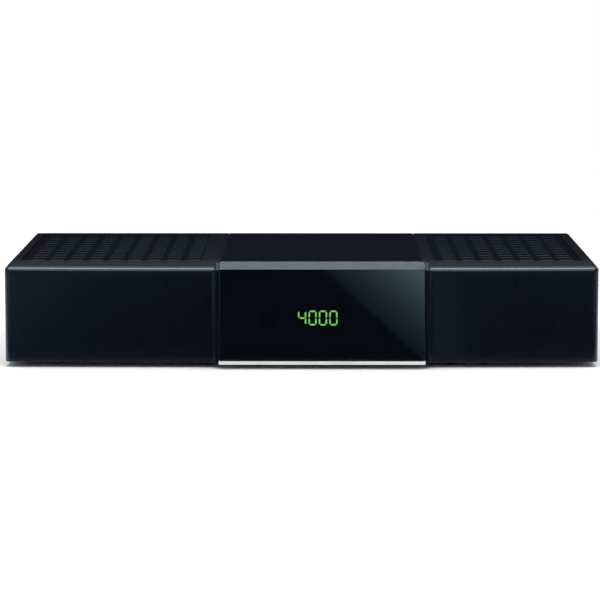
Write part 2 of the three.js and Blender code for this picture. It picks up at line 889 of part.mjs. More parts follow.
// A chip with its upper edges bevelled
function makeChip(x, y, width, depth, height) {
  const corner = chipCornerShare * Math.min(width, depth);
  const inner = { x: width / 2 - chipBevel, y: depth / 2 - chipBevel };
  const shape = outline([
    [-inner.x, -inner.y], [inner.x, -inner.y], [inner.x, inner.y],
    [corner - inner.x, inner.y], [-inner.x, inner.y - corner],
  ]);
  const bevelled = new THREE.ExtrudeGeometry(shape, {
    depth: height - chipBevel,
    bevelEnabled: true,
    bevelThickness: chipBevel,
    bevelSize: chipBevel,
    bevelSegments: 1,
  }).translate(x, y, boardTop);
  return cut(solid(bevelled), block(
    x - width, x + width, y - depth, y + depth, boardTop - height, boardTop,
  ));
}

addPiece('processor', makeChip(
  processorX, processorY, processorSize, processorSize, processorHeight,
), finishes.chip);

function makeHeatSink() {
  const bottom = boardTop + processorHeight;
  const half = sinkSize / 2;
  const [left, right] = [processorX - half, processorX + half];
  const whole = block(
    left, right, processorY - half, processorY + half, bottom, bottom + sinkHeight,
  );
  const gaps = [];
  const finCount = Math.floor((sinkSize - sinkFin) / sinkFinPitch) + 1;
  const first = processorX - ((finCount - 1) * sinkFinPitch) / 2;
  for (let i = 0; i < finCount - 1; i += 1) {
    const x = first + i * sinkFinPitch;
    gaps.push(block(
      x + sinkFin / 2, x + sinkFinPitch - sinkFin / 2,
      processorY - half - overrun, processorY + half + overrun,
      bottom + sinkBase, bottom + sinkHeight + overrun,
    ));
  }
  return cut(whole, ...gaps);
}

addPiece('heat_sink', makeHeatSink(), finishes.aluminium);

[-1, 1].forEach((side, i) => {
  const [x, y] = boardPlace(memoryPlaceShares);
  addPiece(`memory_chip_${letter(i)}`, makeChip(
    x, y + (side * memorySpacing) / 2, memoryWidth, memoryDepth, memoryHeight,
  ), finishes.chip);
});
addPiece('flash_chip', makeChip(
  ...boardPlace(flashPlaceShares), flashWidth, flashDepth, memoryHeight,
), finishes.chip);

const [crystalX, crystalY] = boardPlace(crystalPlaceShares);
addPiece('crystal_can', solid(extrudeUp(roundedOutline(
  crystalX - crystalWidth / 2, crystalX + crystalWidth / 2,
  crystalY - crystalDepth / 2, crystalY + crystalDepth / 2, crystalDepth / 2 - seamGap,
), boardTop, boardTop + crystalHeight)), finishes.tinned);

const capacitors = [
  ...largeCapPlacesShares.map((place) => [place, largeCapRadius, largeCapHeight]),
  ...smallCapPlacesShares.map((place) => [place, smallCapRadius, smallCapHeight]),
];
capacitors.forEach(([place, radius, height], i) => {
  const [x, y] = boardPlace(place);
  const top = boardTop + height;
  const neck = boardTop + 3 * capRollRadius;
  addPiece(`capacitor_${letter(i)}`, turnedUpright([
    [0, boardTop], [radius - capRollRadius, boardTop], [radius, boardTop + capRollRadius],
    [radius, neck], [radius - capRollRadius, neck + capRollRadius],
    [radius, neck + 2 * capRollRadius], [radius, top - capRollRadius],
    [radius - capRollRadius, top], [0, top],
  ], x, y, smallSides), finishes.sleeve);
});

inductorPlacesShares.forEach((place, i) => {
  const [x, y] = boardPlace(place);
  const half = inductorSize / 2;
  const top = boardTop + inductorHeight;
  const ring = cut(
    uprightRod(x, y, half - inductorWell, top - inductorWell, top + overrun),
    uprightRod(x, y, half - 2 * inductorWell, top - 2 * inductorWell, top + 2 * overrun),
  );
  addPiece(`inductor_${letter(i)}`, cut(solid(extrudeUp(
    roundedOutline(x - half, x + half, y - half, y + half, inductorWell), boardTop, top,
  )), ring), finishes.ferrite);
});

// Headers on both boards and the ribbon between them
const headerX = windowCentreX + headerOffsetX;
const boardHeaderFront = boardFront + headerFrontInset;
const displayHeaderZ = digitMiddle - displayHeaderDrop;
addPiece('board_header', block(
  headerX - headerWidth / 2, headerX + headerWidth / 2,
  boardHeaderFront, boardHeaderFront + headerDepth, boardTop, boardTop + headerHeight,
), finishes.whitePlastic);
addPiece('display_header', block(
  headerX - headerWidth / 2, headerX + headerWidth / 2,
  displayBoardBack, displayBoardBack + headerDepth,
  displayHeaderZ - headerHeight / 2, displayHeaderZ + headerHeight / 2,
), finishes.whitePlastic);

function makeRibbon() {
  const start = new THREE.Vector2(displayBoardBack + headerDepth + fitGap, displayHeaderZ);
  const end = new THREE.Vector2(boardHeaderFront - fitGap, boardTop + headerHeight / 2);
  const pull = (end.x - start.x) * ribbonPullShare;
  const curve = new THREE.CubicBezierCurve(
    start, new THREE.Vector2(start.x + pull, start.y), new THREE.Vector2(end.x - pull, end.y), end,
  );
  const upper = [];
  const lower = [];
  for (let i = 0; i <= ribbonSteps; i += 1) {
    const share = i / ribbonSteps;
    const point = curve.getPoint(share);
    const along = curve.getTangent(share);
    const side = new THREE.Vector2(-along.y, along.x).multiplyScalar(ribbonThickness / 2);
    upper.push(point.clone().add(side));
    lower.unshift(point.clone().sub(side));
  }
  const shape = new THREE.Shape([...upper, ...lower]);
  return solid(extrudeAcross(shape, headerX - ribbonWidth / 2, headerX + ribbonWidth / 2));
}

addPiece('ribbon_cable', makeRibbon(), finishes.cable);

// Tuner can with pressed ribs round its lid
const tunerRear = panelFront - tunerPanelGap;
const tunerFront = tunerRear - tunerDepth;
const tunerTop = boardTop + tunerHeight;
const tunerLeft = tunerCentreX - tunerWidth / 2;
const tunerRight = tunerCentreX + tunerWidth / 2;
const aerialZ = boardTop + tunerHeight / 2;
addPiece('tuner_can', join(
  block(
    tunerLeft + tunerRib, tunerRight - tunerRib, tunerFront + tunerRib, tunerRear,
    boardTop, tunerTop,
  ),
  block(
    tunerLeft, tunerRight, tunerFront, tunerRear, tunerTop - tunerHeight / 4, tunerTop - tunerRib,
  ),
), finishes.tinned);

// The threaded connector, hollow at its mouth, with washer and nut
function makeAerialConnector() {
  const profile = [[0, tunerRear], [aerialRadius, tunerRear]];
  const ridgeStart = panelRear + washerThickness + nutThickness;
  const ridges = Math.max(1, Math.floor((aerialRear - ridgeStart) / threadPitch) - 1);
  for (let i = 0; i < ridges; i += 1) {
    const y = ridgeStart + threadPitch * (i + 1 / 2);
    profile.push(
      [aerialRadius, y], [aerialRadius - threadDepth, y + threadPitch / 4],
      [aerialRadius - threadDepth, y + threadPitch / 2], [aerialRadius, y + (3 * threadPitch) / 4],
    );
  }
  const mouth = aerialRear - aerialMouthDepth;
  const boreEnd = tunerRear + (aerialRear - tunerRear) / 4;
  profile.push(
    [aerialRadius, aerialRear - threadDepth], [aerialRadius - threadDepth, aerialRear],
    [aerialMouthRadius, aerialRear], [aerialMouthRadius, mouth],
    [aerialBore, mouth], [aerialBore, boreEnd], [0, boreEnd],
  );
  return turnedLevel(profile, tunerCentreX, aerialZ, smallSides);
}

function ringAround(outer, y0, y1, sides) {
  const whole = levelRod(tunerCentreX, aerialZ, outer, y0, y1, sides);
  return cut(whole, levelRod(
    tunerCentreX, aerialZ, aerialRadius + fitGap, y0 - overrun, y1 + overrun, roundSides,
  ));
}

const hexSides = 6;
const washerRear = panelRear + washerThickness;
addPiece('aerial_connector', makeAerialConnector(), finishes.tinned);
addPiece('aerial_washer', ringAround(washerRadius, panelRear, washerRear, roundSides), finishes.tinned);
addPiece('aerial_nut', ringAround(
  nutAcrossCorners / 2, washerRear, washerRear + nutThickness, hexSides,
), finishes.tinned);

// The coaxial audio socket: a plastic body with a core, and a metal barrel round the core
const audioZ = boardTop + audioAxisRise;
const audioFace = panelFront - fitGap;
addPiece('audio_socket_body', cut(
  join(
    block(
      audioCentreX - audioBlockWidth / 2, audioCentreX + audioBlockWidth / 2,
      audioFace - audioBlockDepth, audioFace, boardTop, boardTop + audioBlockHeight,
    ),
    levelRod(
      audioCentreX, audioZ, audioFlangeRadius, audioFace - fitGap,
      panelRear + audioFlangeThickness, roundSides,
    ),
    levelRod(audioCentreX, audioZ, audioCoreRadius, audioFace - fitGap, panelRear + audioReach),
  ),
  levelRod(
    audioCentreX, audioZ, audioBoreRadius, audioFace - audioBlockDepth / 2,
    panelRear + audioReach + overrun,
  ),
), finishes.orangePlastic);
const audioShellStart = panelRear + audioFlangeThickness;
addPiece('audio_socket_shell', cut(
  levelRod(
    audioCentreX, audioZ, audioBarrelRadius, audioShellStart, panelRear + audioReach, roundSides,
  ),
  levelRod(
    audioCentreX, audioZ, audioCoreRadius + fitGap, audioShellStart - overrun,
    panelRear + audioReach + overrun, roundSides,
  ),
), finishes.tinned);

// The wide audio and video socket: a block with a slanted mouth round its contact core
function avMouth(inset) {
  const half = avMouthWidth / 2 - inset;
  const middle = boardTop + avHeight / 2;
  const rise = avMouthHeight / 2 - inset;
  return outline([
    [avCentreX - half, middle - rise], [avCentreX + half - avMouthSlant, middle - rise],
    [avCentreX + half, middle + rise], [avCentreX - half, middle + rise],
  ]);
}

function makeAvSocket() {
  const face = panelRear + avFlangeProud;
  const body = block(
    avCentreX - avWidth / 2, avCentreX + avWidth / 2, face - avBlockDepth, face,
    boardTop, boardTop + avHeight,
  );
  const ring = cut(
    solid(extrudeBack(avMouth(0), face - avMouthDepth, face + overrun)),
    solid(extrudeBack(avMouth(avShieldGap), face - avMouthDepth - overrun, face + 2 * overrun)),
  );
  const contacts = [];
  const middle = boardTop + avHeight / 2;
  const perRow = Math.floor((avMouthWidth - 2 * avShieldGap - 2 * avMouthSlant) / avContactPitch) + 1;
  for (const side of [-1, 1]) {
    const z = middle + side * avContactRowRise;
    for (let i = 0; i < perRow; i += 1) {
      const shift = (i - (perRow - 1) / 2 + side / 4) * avContactPitch;
      const x = avCentreX - avMouthSlant / 4 + shift;
      const contact = new THREE.BoxGeometry(avContactWidth, avMouthDepth, avContactHeight);
      contacts.push(contact.translate(x, face, z));
    }
  }
  return cut(body, ring, solid(mergeGeometries(contacts)));
}

addPiece('av_socket', makeAvSocket(), finishes.blackPlastic);

// The flat video socket: a shell with tapered lower corners and a contact tongue
function videoOutline(inset) {
  const half = videoWidth / 2 - inset;
  const bottom = boardTop + inset;
  const top = boardTop + videoHeight - inset;
  return outline([
    [videoCentreX - half + videoTaper, bottom], [videoCentreX + half - videoTaper, bottom],
    [videoCentreX + half, bottom + videoTaper], [videoCentreX + half, top],
    [videoCentreX - half, top], [videoCentreX - half, bottom + videoTaper],
  ]);
}

const socketFace = panelRear + socketProud;
const videoMiddle = boardTop + videoHeight / 2;
addPiece('video_socket', join(
  cut(
    solid(extrudeBack(videoOutline(0), socketFace - videoBlockDepth, socketFace)),
    solid(extrudeBack(videoOutline(videoWall), socketFace - videoMouthDepth, socketFace + overrun)),
  ),
  block(
    videoCentreX - videoWidth / 2 + videoTongueInset, videoCentreX + videoWidth / 2 - videoTongueInset,
    socketFace - videoMouthDepth - videoWall, socketFace - socketProud,
    videoMiddle, videoMiddle + videoTongueThickness,
  ),
), finishes.tinned);

// The data socket: a rectangular shell with an offset tongue
function dataBlock(inset, y0, y1) {
  return block(
    dataCentreX - dataWidth / 2 + inset, dataCentreX + dataWidth / 2 - inset, y0, y1,
    boardTop + inset, boardTop + dataHeight - inset,
  );
}

const dataTongueTop = boardTop + dataHeight - dataWall - dataTongueInset;
addPiece('data_socket', join(
  cut(
    dataBlock(0, socketFace - dataBlockDepth, socketFace),
    dataBlock(dataWall, socketFace - dataMouthDepth, socketFace + overrun),
  ),
  block(
    dataCentreX - dataWidth / 2 + dataWall + dataTongueInset,
    dataCentreX + dataWidth / 2 - dataWall - dataTongueInset,
    socketFace - dataMouthDepth - dataWall, socketFace - socketProud,
    dataTongueTop - dataTongueThickness, dataTongueTop,
  ),
), finishes.tinned);

// The low-voltage inlet with its centre pin
const inletZ = boardTop + inletAxisRise;
addPiece('power_inlet', join(
  cut(
    block(
      inletCentreX - inletWidth / 2, inletCentreX + inletWidth / 2, socketFace - inletDepth,
      socketFace, boardTop, boardTop + inletHeight,
    ),
    levelRod(
      inletCentreX, inletZ, inletBore, socketFace - inletBoreDepth, socketFace + overrun, roundSides,
    ),
  ),
  levelRod(
    inletCentreX, inletZ, inletPin, socketFace - inletBoreDepth - socketProud,
    socketFace - socketProud,
  ),
), finishes.blackPlastic);

// Power switch: a housing clipped into the panel, and the rocker on its two pins
const switchZ = caseBottom + switchCentreRise;
const switchFace = panelRear + switchFlangeThickness;
const cavityWidth = switchBodyWidth - 2 * switchWall;
const cavityHeight = switchBodyHeight - 2 * switchWall;
const pivotY = switchFace - rockerPivotDepth;

function switchBox(width, height, y0, y1) {
  return block(
    switchCentreX - width / 2, switchCentreX + width / 2, y0, y1,
    switchZ - height / 2, switchZ + height / 2,
  );
}

function makeSwitchHousing() {
  const flange = solid(extrudeBack(roundedOutline(
    switchCentreX - switchFlangeWidth / 2, switchCentreX + switchFlangeWidth / 2,
    switchZ - switchFlangeHeight / 2, switchZ + switchFlangeHeight / 2, switchFlangeRadius,
  ), panelRear, switchFace));
  const bodyFront = panelRear - switchBodyDepth;
  const terminals = [-1, 1].map((side) => block(
    switchCentreX - terminalWidth / 2, switchCentreX + terminalWidth / 2,
    bodyFront - terminalLength, bodyFront + switchWall,
    switchZ + (side * terminalPitch) / 2 - terminalThickness / 2,
    switchZ + (side * terminalPitch) / 2 + terminalThickness / 2,
  ));
  return cut(
    join(
      flange, switchBox(switchBodyWidth, switchBodyHeight, bodyFront, panelRear + fitGap),
      ...terminals,
    ),
    switchBox(cavityWidth, cavityHeight, switchFace - switchCavityDepth, switchFace + overrun),
    crossRod(
      pivotY, switchZ, rockerPinRadius + rockerPinGap,
      switchCentreX - cavityWidth / 2 - rockerPinLength - rockerPinGap,
      switchCentreX + cavityWidth / 2 + rockerPinLength + rockerPinGap, roundSides,
    ),
  );
}

addPiece('switch_housing', makeSwitchHousing(), finishes.blackPlastic);

const rockerHalf = cavityHeight / 2 - rockerGap;
const rockerWidth = cavityWidth - 2 * rockerGap;
function makeRocker() {
  const body = solid(extrudeAcross(outline([
    [rockerEndRise, -rockerHalf], [rockerMiddleRise, 0], [rockerEndRise, rockerHalf],
    [-rockerSkirt, rockerHalf - rockerGap], [-rockerTailDepth, rockerTailWidth / 2],
    [-rockerTailDepth, -rockerTailWidth / 2], [-rockerSkirt, rockerGap - rockerHalf],
  ]), -rockerWidth / 2, rockerWidth / 2));
  const pinReach = cavityWidth / 2 + rockerPinLength;
  return body.add(crossRod(0, 0, rockerPinRadius, -pinReach, pinReach, roundSides));
}

const rocker = addPiece('power_rocker', makeRocker(), finishes.blackPlastic);
rocker.position.set(switchCentreX, pivotY, switchZ);
rocker.rotation.set(THREE.MathUtils.degToRad(rockerTiltDegrees), 0, 0);

// Rear panel, cut for everything that passes through it
function makePanel() {
  const side = halfWidth - wallThickness - fitGap;
  const bottom = floorTop - panelGrooveDepth + seamGap;
  const [ahead, behind] = [panelFront - overrun, panelRear + overrun];
  const window = (x, width, z0, z1) => block(
    x - width / 2 - fitGap, x + width / 2 + fitGap, ahead, behind, z0 - fitGap, z1 + fitGap,
  );
  const round = (x, z, radius) => levelRod(x, z, radius + fitGap, ahead, behind, roundSides);
  return cut(
    block(-side, side, panelFront, panelRear, bottom, panelTop),
    round(tunerCentreX, aerialZ, aerialRadius),
    round(audioCentreX, audioZ, audioFlangeRadius),
    window(avCentreX, avWidth, boardTop, boardTop + avHeight),
    window(videoCentreX, videoWidth, boardTop, boardTop + videoHeight),
    window(dataCentreX, dataWidth, boardTop, boardTop + dataHeight),
    window(inletCentreX, inletWidth, boardTop, boardTop + inletHeight),
    window(
      switchCentreX, switchBodyWidth, switchZ - switchBodyHeight / 2, switchZ + switchBodyHeight / 2,
    ),
    ...[-1, 1].map((end) => round(end * panelScrewX, panelScrewZ, screwRadius)),
  );
}

addPiece('rear_panel', makePanel(), finishes.paintedSheet);
[-1, 1].forEach((side, i) => {
  addScrew(
    `panel_screw_${letter(i)}`, panelScrewLength, [side * panelScrewX, panelRear, panelScrewZ],
    -Math.PI / 2,
  );
});

// The origin goes to the middle of the box, on the table
receiver.position.y = (trimProud - aerialRear) / 2;

export default receiver;
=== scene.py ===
from math import cos, degrees, pi, radians, sin
import bmesh
import bpy
from mathutils import Matrix, Vector


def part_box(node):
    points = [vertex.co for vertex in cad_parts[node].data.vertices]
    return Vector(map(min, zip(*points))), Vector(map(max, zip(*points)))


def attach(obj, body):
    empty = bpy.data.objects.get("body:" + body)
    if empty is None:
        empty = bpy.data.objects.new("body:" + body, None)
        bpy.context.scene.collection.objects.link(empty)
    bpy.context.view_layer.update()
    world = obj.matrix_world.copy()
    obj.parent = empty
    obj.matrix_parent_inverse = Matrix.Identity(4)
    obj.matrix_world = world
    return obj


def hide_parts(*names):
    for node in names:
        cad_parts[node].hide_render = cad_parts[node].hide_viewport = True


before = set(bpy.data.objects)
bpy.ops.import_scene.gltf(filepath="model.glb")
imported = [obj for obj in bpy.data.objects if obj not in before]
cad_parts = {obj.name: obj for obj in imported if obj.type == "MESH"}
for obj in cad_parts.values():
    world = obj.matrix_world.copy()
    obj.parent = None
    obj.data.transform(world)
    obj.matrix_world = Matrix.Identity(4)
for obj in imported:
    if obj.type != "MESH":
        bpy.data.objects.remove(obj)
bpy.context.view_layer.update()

mm = 0.001
hair = 0.01             # what two measures in millimetres may differ by and still count as one
scene = bpy.context.scene
scene.view_settings.view_transform = "Standard"
print("frame loaded:", len(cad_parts), "nodes")


# The camera stands a metre ahead and looks a little down

cameraSettings = {
    "place": (3.6, -1088.7, 155.6),
    "target": (-0.56, -61.7, 25.3),
    "lens": 168.1,
}


def makeCamera(settings):
    data = bpy.data.cameras.new("photo_camera")
    data.lens = settings["lens"]
    data.sensor_width = 36
    data.clip_start = 0.01
    data.clip_end = 60
    camera = bpy.data.objects.new("photo_camera", data)
    scene.collection.objects.link(camera)
    place = Vector(settings["place"]) * mm
    look = Vector(settings["target"]) * mm - place
    camera.location = place
    camera.rotation_euler = look.to_track_quat("-Z", "Y").to_euler()
    scene.camera = camera


makeCamera(cameraSettings)
print("camera placed")


# Shape helpers. Everything is in millimetres until settle() writes the mesh.
# A carving tool reaches a little past the faces it cuts, and a joined part a little into its body.

def nodeBox(name):
    low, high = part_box(name)
    return low / mm, high / mm


def nodeMiddle(name):
    low, high = nodeBox(name)
    return (low + high) / 2


def boxBetween(bm, low, high):
    made = bmesh.ops.create_cube(bm, size=1)["verts"]
    bmesh.ops.scale(bm, vec=[high[i] - low[i] for i in range(3)], verts=made)
    bmesh.ops.translate(bm, vec=[(high[i] + low[i]) / 2 for i in range(3)], verts=made)
    return made


def rodBetween(bm, axis, centre, radius, start, end, sides=32):
    made = bmesh.ops.create_cone(
        bm, cap_ends=True, segments=sides, radius1=radius, radius2=radius, depth=end - start)["verts"]
    if axis != "z":
        turn = Matrix.Rotation(pi / 2, 3, "Y") if axis == "x" else Matrix.Rotation(-pi / 2, 3, "X")
        bmesh.ops.rotate(bm, matrix=turn, verts=made)
    middle = list(centre)
    middle["xyz".index(axis)] = (start + end) / 2
    bmesh.ops.translate(bm, vec=middle, verts=made)
    return made


def boxShape(low, high):
    bm = bmesh.new()
    boxBetween(bm, low, high)
    return bm


def rodShape(*measures):
    bm = bmesh.new()
    rodBetween(bm, *measures)
    return bm


def prism(bm, outline, run):    # a flat outline carried along run
    face = bm.faces.new([bm.verts.new(point) for point in outline])
    grown = bmesh.ops.extrude_face_region(bm, geom=[face])["geom"]
    moved = [item for item in grown if isinstance(item, bmesh.types.BMVert)]
    bmesh.ops.translate(bm, vec=run, verts=moved)
    bmesh.ops.recalc_face_normals(bm, faces=bm.faces)


def sideways(bm, axis, spots, start, end):    # an outline seen along x or y, carried from start to end
    if axis == "x":
        prism(bm, [(start, y, z) for y, z in spots], (end - start, 0, 0))
    else:
        prism(bm, [(x, start, z) for x, z in spots], (0, end - start, 0))


def turnShape(bm, way):    # a shape made along z is turned to face another way
    turns = {"y": -pi / 2, "-y": pi / 2, "-z": pi}
    if way in turns:
        bmesh.ops.rotate(bm, matrix=Matrix.Rotation(turns[way], 3, "X"), verts=bm.verts)


def turned(profile, centre, way, steps=32):    # profile: (radius, height) pairs
    bm = bmesh.new()
    corners = [bm.verts.new((radius, 0, height)) for radius, height in profile]
    edges = [bm.edges.new(pair) for pair in zip(corners, corners[1:])]
    bmesh.ops.spin(
        bm, geom=corners + edges, cent=(0, 0, 0), axis=(0, 0, 1), angle=2 * pi,
        steps=steps, use_merge=True, use_duplicate=False)
    bmesh.ops.remove_doubles(bm, verts=bm.verts, dist=1e-4)
    bmesh.ops.recalc_face_normals(bm, faces=bm.faces)
    turnShape(bm, way)
    bmesh.ops.translate(bm, vec=centre, verts=bm.verts)
    return bm


def cutAcross(bm, spot, normal):    # new edges where a plane crosses the shape
    bmesh.ops.bisect_plane(bm, geom=bm.verts[:] + bm.edges[:] + bm.faces[:], dist=1e-4,
                           plane_co=spot, plane_no=normal)


def addTo(bm, other):
    mesh = bpy.data.meshes.new("joined")
    other.to_mesh(mesh)
    other.free()
    bm.from_mesh(mesh)
    bpy.data.meshes.remove(mesh)


def bevelEdges(bm, edges, width, segments):
    if edges:
        bmesh.ops.bevel(
            bm, geom=edges, offset=width, offset_type="OFFSET", segments=segments, profile=0.5,
            affect="EDGES", clamp_overlap=True, material=-1, loop_slide=True)


def softBox(low, high, width, segments):
    bm = boxShape(low, high)
    bevelEdges(bm, bm.edges[:], width, segments)
    return bm


def sharpEdges(bm, least=35):
    return [edge for edge in bm.edges
            if len(edge.link_faces) == 2 and degrees(edge.calc_face_angle(0)) > least]


def rimEdges(bm, axis, level, least=35):    # the sharp edges that lie beyond a level
    i = "xyz".index(axis)
    return [edge for edge in sharpEdges(bm, least) if all(vert.co[i] > level for vert in edge.verts)]


def edgesAlong(bm, axis, least=1):    # the edges that run further than least along an axis
    i = "xyz".index(axis)
    return [edge for edge in bm.edges if abs(edge.verts[0].co[i] - edge.verts[1].co[i]) > least]


def crossOutline(centre, reach, half, z):    # four arms of width 2 * half round a centre
    outline = []
    for arm in range(4):
        for x, y in ((reach, -half), (reach, half), (half, half)):
            for quarter in range(arm):    # each arm is a quarter turn on from the last
                x, y = -y, x
            outline.append((centre[0] + x, centre[1] + y, z))
    return outline


def scratchObject(bm):
    mesh = bpy.data.meshes.new("cutter")
    bmesh.ops.recalc_face_normals(bm, faces=bm.faces)
    bm.to_mesh(mesh)
    bm.free()
    thing = bpy.data.objects.new("cutter", mesh)
    scene.collection.objects.link(thing)
    return thing


def carve(bm, tool, operation="DIFFERENCE"):    # both go in as bmeshes, the result comes out as one
    body, cutter = scratchObject(bm), scratchObject(tool)
    boolean = body.modifiers.new("carve", "BOOLEAN")
    boolean.object = cutter
    boolean.operation = operation
    boolean.solver = "EXACT"
    bpy.context.view_layer.update()
    seen = body.evaluated_get(bpy.context.evaluated_depsgraph_get())
    result = bmesh.new()
    result.from_mesh(seen.to_mesh())
    seen.to_mesh_clear()
    for thing in (body, cutter):
        mesh = thing.data
        bpy.data.objects.remove(thing)
        bpy.data.meshes.remove(mesh)
    bmesh.ops.remove_doubles(result, verts=result.verts, dist=1e-4)
    return result


def cadCopy(name):    # a merged copy of a CAD node, flat parts joined back into whole faces
    bm = bmesh.new()
    bm.from_mesh(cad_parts[name].data)
    bmesh.ops.scale(bm, vec=(1 / mm,) * 3, verts=bm.verts)
    bmesh.ops.remove_doubles(bm, verts=bm.verts, dist=1e-3)
    bmesh.ops.dissolve_limit(
        bm, angle_limit=radians(0.5), use_dissolve_boundaries=False, verts=bm.verts, edges=bm.edges,
        delimit={"NORMAL"})
    return bm


finishes = {}    # each material under its name


def settle(name, bm, finish, replaced=(), body="case", smooth=32, weight=100):
    bmesh.ops.remove_doubles(bm, verts=bm.verts, dist=1e-4)
    bmesh.ops.recalc_face_normals(bm, faces=bm.faces)
    bmesh.ops.scale(bm, vec=(mm,) * 3, verts=bm.verts)
    mesh = bpy.data.meshes.new(name)
    bm.to_mesh(mesh)
    bm.free()
    names = finish if isinstance(finish, list) else [finish]
    for each in names:
        mesh.materials.append(finishes[each])
    mesh.shade_smooth()
    mesh.set_sharp_from_angle(angle=radians(smooth))
    piece = bpy.data.objects.new(name, mesh)
    scene.collection.objects.link(piece)
    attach(piece, body)
    if replaced:
        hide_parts(*replaced)
    weigh = piece.modifiers.new("even_shading", "WEIGHTED_NORMAL")
    weigh.keep_sharp = True    # wide faces stay flat beside small bevels
    weigh.weight = weight


# Material helpers

def startMaterial(name):
    material = finishes[name] = bpy.data.materials.new(name)
    material.use_nodes = True
    tree = material.node_tree
    place = tree.nodes.new("ShaderNodeTexCoord")
    return tree, tree.nodes["Principled BSDF"], place.outputs["Object"]


def feed(tree, node, inputs):    # an input takes a value, or a link from another node's output
    for socket, value in inputs.items():
        if isinstance(value, bpy.types.NodeSocket):
            tree.links.new(value, node.inputs[socket])
        else:
            node.inputs[socket].default_value = value


def addNode(tree, kind, inputs):
    node = tree.nodes.new(kind)
    feed(tree, node, inputs)
    return node


def noiseOf(tree, place, scale, detail):
    return addNode(tree, "ShaderNodeTexNoise", {
        "Vector": place, "Scale": scale, "Detail": detail, "Roughness": 0.55}).outputs["Fac"]


def spread(tree, value, low, high, fromLow=0.3, fromHigh=0.7):
    return addNode(tree, "ShaderNodeMapRange", {
        "Value": value, "From Min": fromLow, "From Max": fromHigh,
        "To Min": low, "To Max": high}).outputs["Result"]


def calc(tree, operation, *terms):
    node = addNode(tree, "ShaderNodeMath", dict(enumerate(terms)))
    node.operation = operation
    return node.outputs[0]


def axesOf(tree, place):
    return addNode(tree, "ShaderNodeSeparateXYZ", {"Vector": place}).outputs


def blendColours(tree, value, *stops):    # stops: (position, colour)
    ramp = addNode(tree, "ShaderNodeValToRGB", {"Fac": value})
    band = ramp.color_ramp
    while len(band.elements) < len(stops):
        band.elements.new(0.5)
    for element, (position, colour) in zip(band.elements, stops):
        element.position = position
        element.color = (*colour, 1)
    return ramp.outputs["Color"]


def mixColours(tree, share, first, second):
    mix = tree.nodes.new("ShaderNodeMix")
    mix.data_type = "RGBA"
    feed(tree, mix, {0: share, 6: first, 7: second})
    return mix.outputs[2]


def addBump(tree, shader, height, depth):
    bump = addNode(tree, "ShaderNodeBump", {"Height": height, "Strength": 1, "Distance": depth * mm})
    tree.links.new(bump.outputs["Normal"], shader.inputs["Normal"])


def tinted(colour, share):
    return tuple(min(1.0, part * share) for part in colour)


def patchedColour(tree, value, colour, low, high):    # faint patches, darker and lighter than the colour
    return blendColours(tree, value, (0.3, tinted(colour, low)), (0.7, tinted(colour, high)))


def mouldedPlastic(name, settings):
    tree, shader, place = startMaterial(name)
    patches = noiseOf(tree, place, 60, 4)
    change = settings["variation"]
    grain = noiseOf(tree, place, settings["grain"], 2)
    rough = spread(tree, grain, *settings["roughness"])
    if "topSheen" in settings:    # the grain is finer on the top, behind the front edge
        drop, back, up = settings["topSheen"]
        axes = axesOf(tree, place)
        onTop = spread(tree, axes["Z"], 0, drop, (up - 1.2) * mm, (up - 0.2) * mm)
        behind = spread(tree, axes["Y"], 0, 1, (back - 6) * mm, (back + 6) * mm)
        rough = calc(tree, "SUBTRACT", rough, calc(tree, "MULTIPLY", onTop, behind))
    feed(tree, shader, {
        "Base Color": patchedColour(tree, patches, settings["colour"], 1 - change, 1 + change),
        "Roughness": rough,
        "Specular IOR Level": settings.get("specular", 0.5),
        "Specular Tint": (*settings.get("sheenTint", (1, 1, 1)), 1)})
    addBump(tree, shader, grain, settings["depth"])


def drawnMetal(name, settings):    # fine lines along one axis
    tree, shader, place = startMaterial(name)
    turn = addNode(tree, "ShaderNodeMapping", {"Vector": place, "Scale": settings["stretch"]})
    lines = noiseOf(tree, turn.outputs["Vector"], settings["grain"], 3)
    patches = noiseOf(tree, place, 90, 3)
    feed(tree, shader, {
        "Base Color": patchedColour(tree, patches, settings["colour"], 0.93, 1.05),
        "Roughness": spread(tree, lines, *settings["roughness"]),
        "Metallic": settings["metallic"]})
    addBump(tree, shader, lines, settings["depth"])


def makeFinishes(table):
    for name, settings in table.items():
        if "metallic" in settings:
            drawnMetal(name, settings)
        else:
            mouldedPlastic(name, settings)


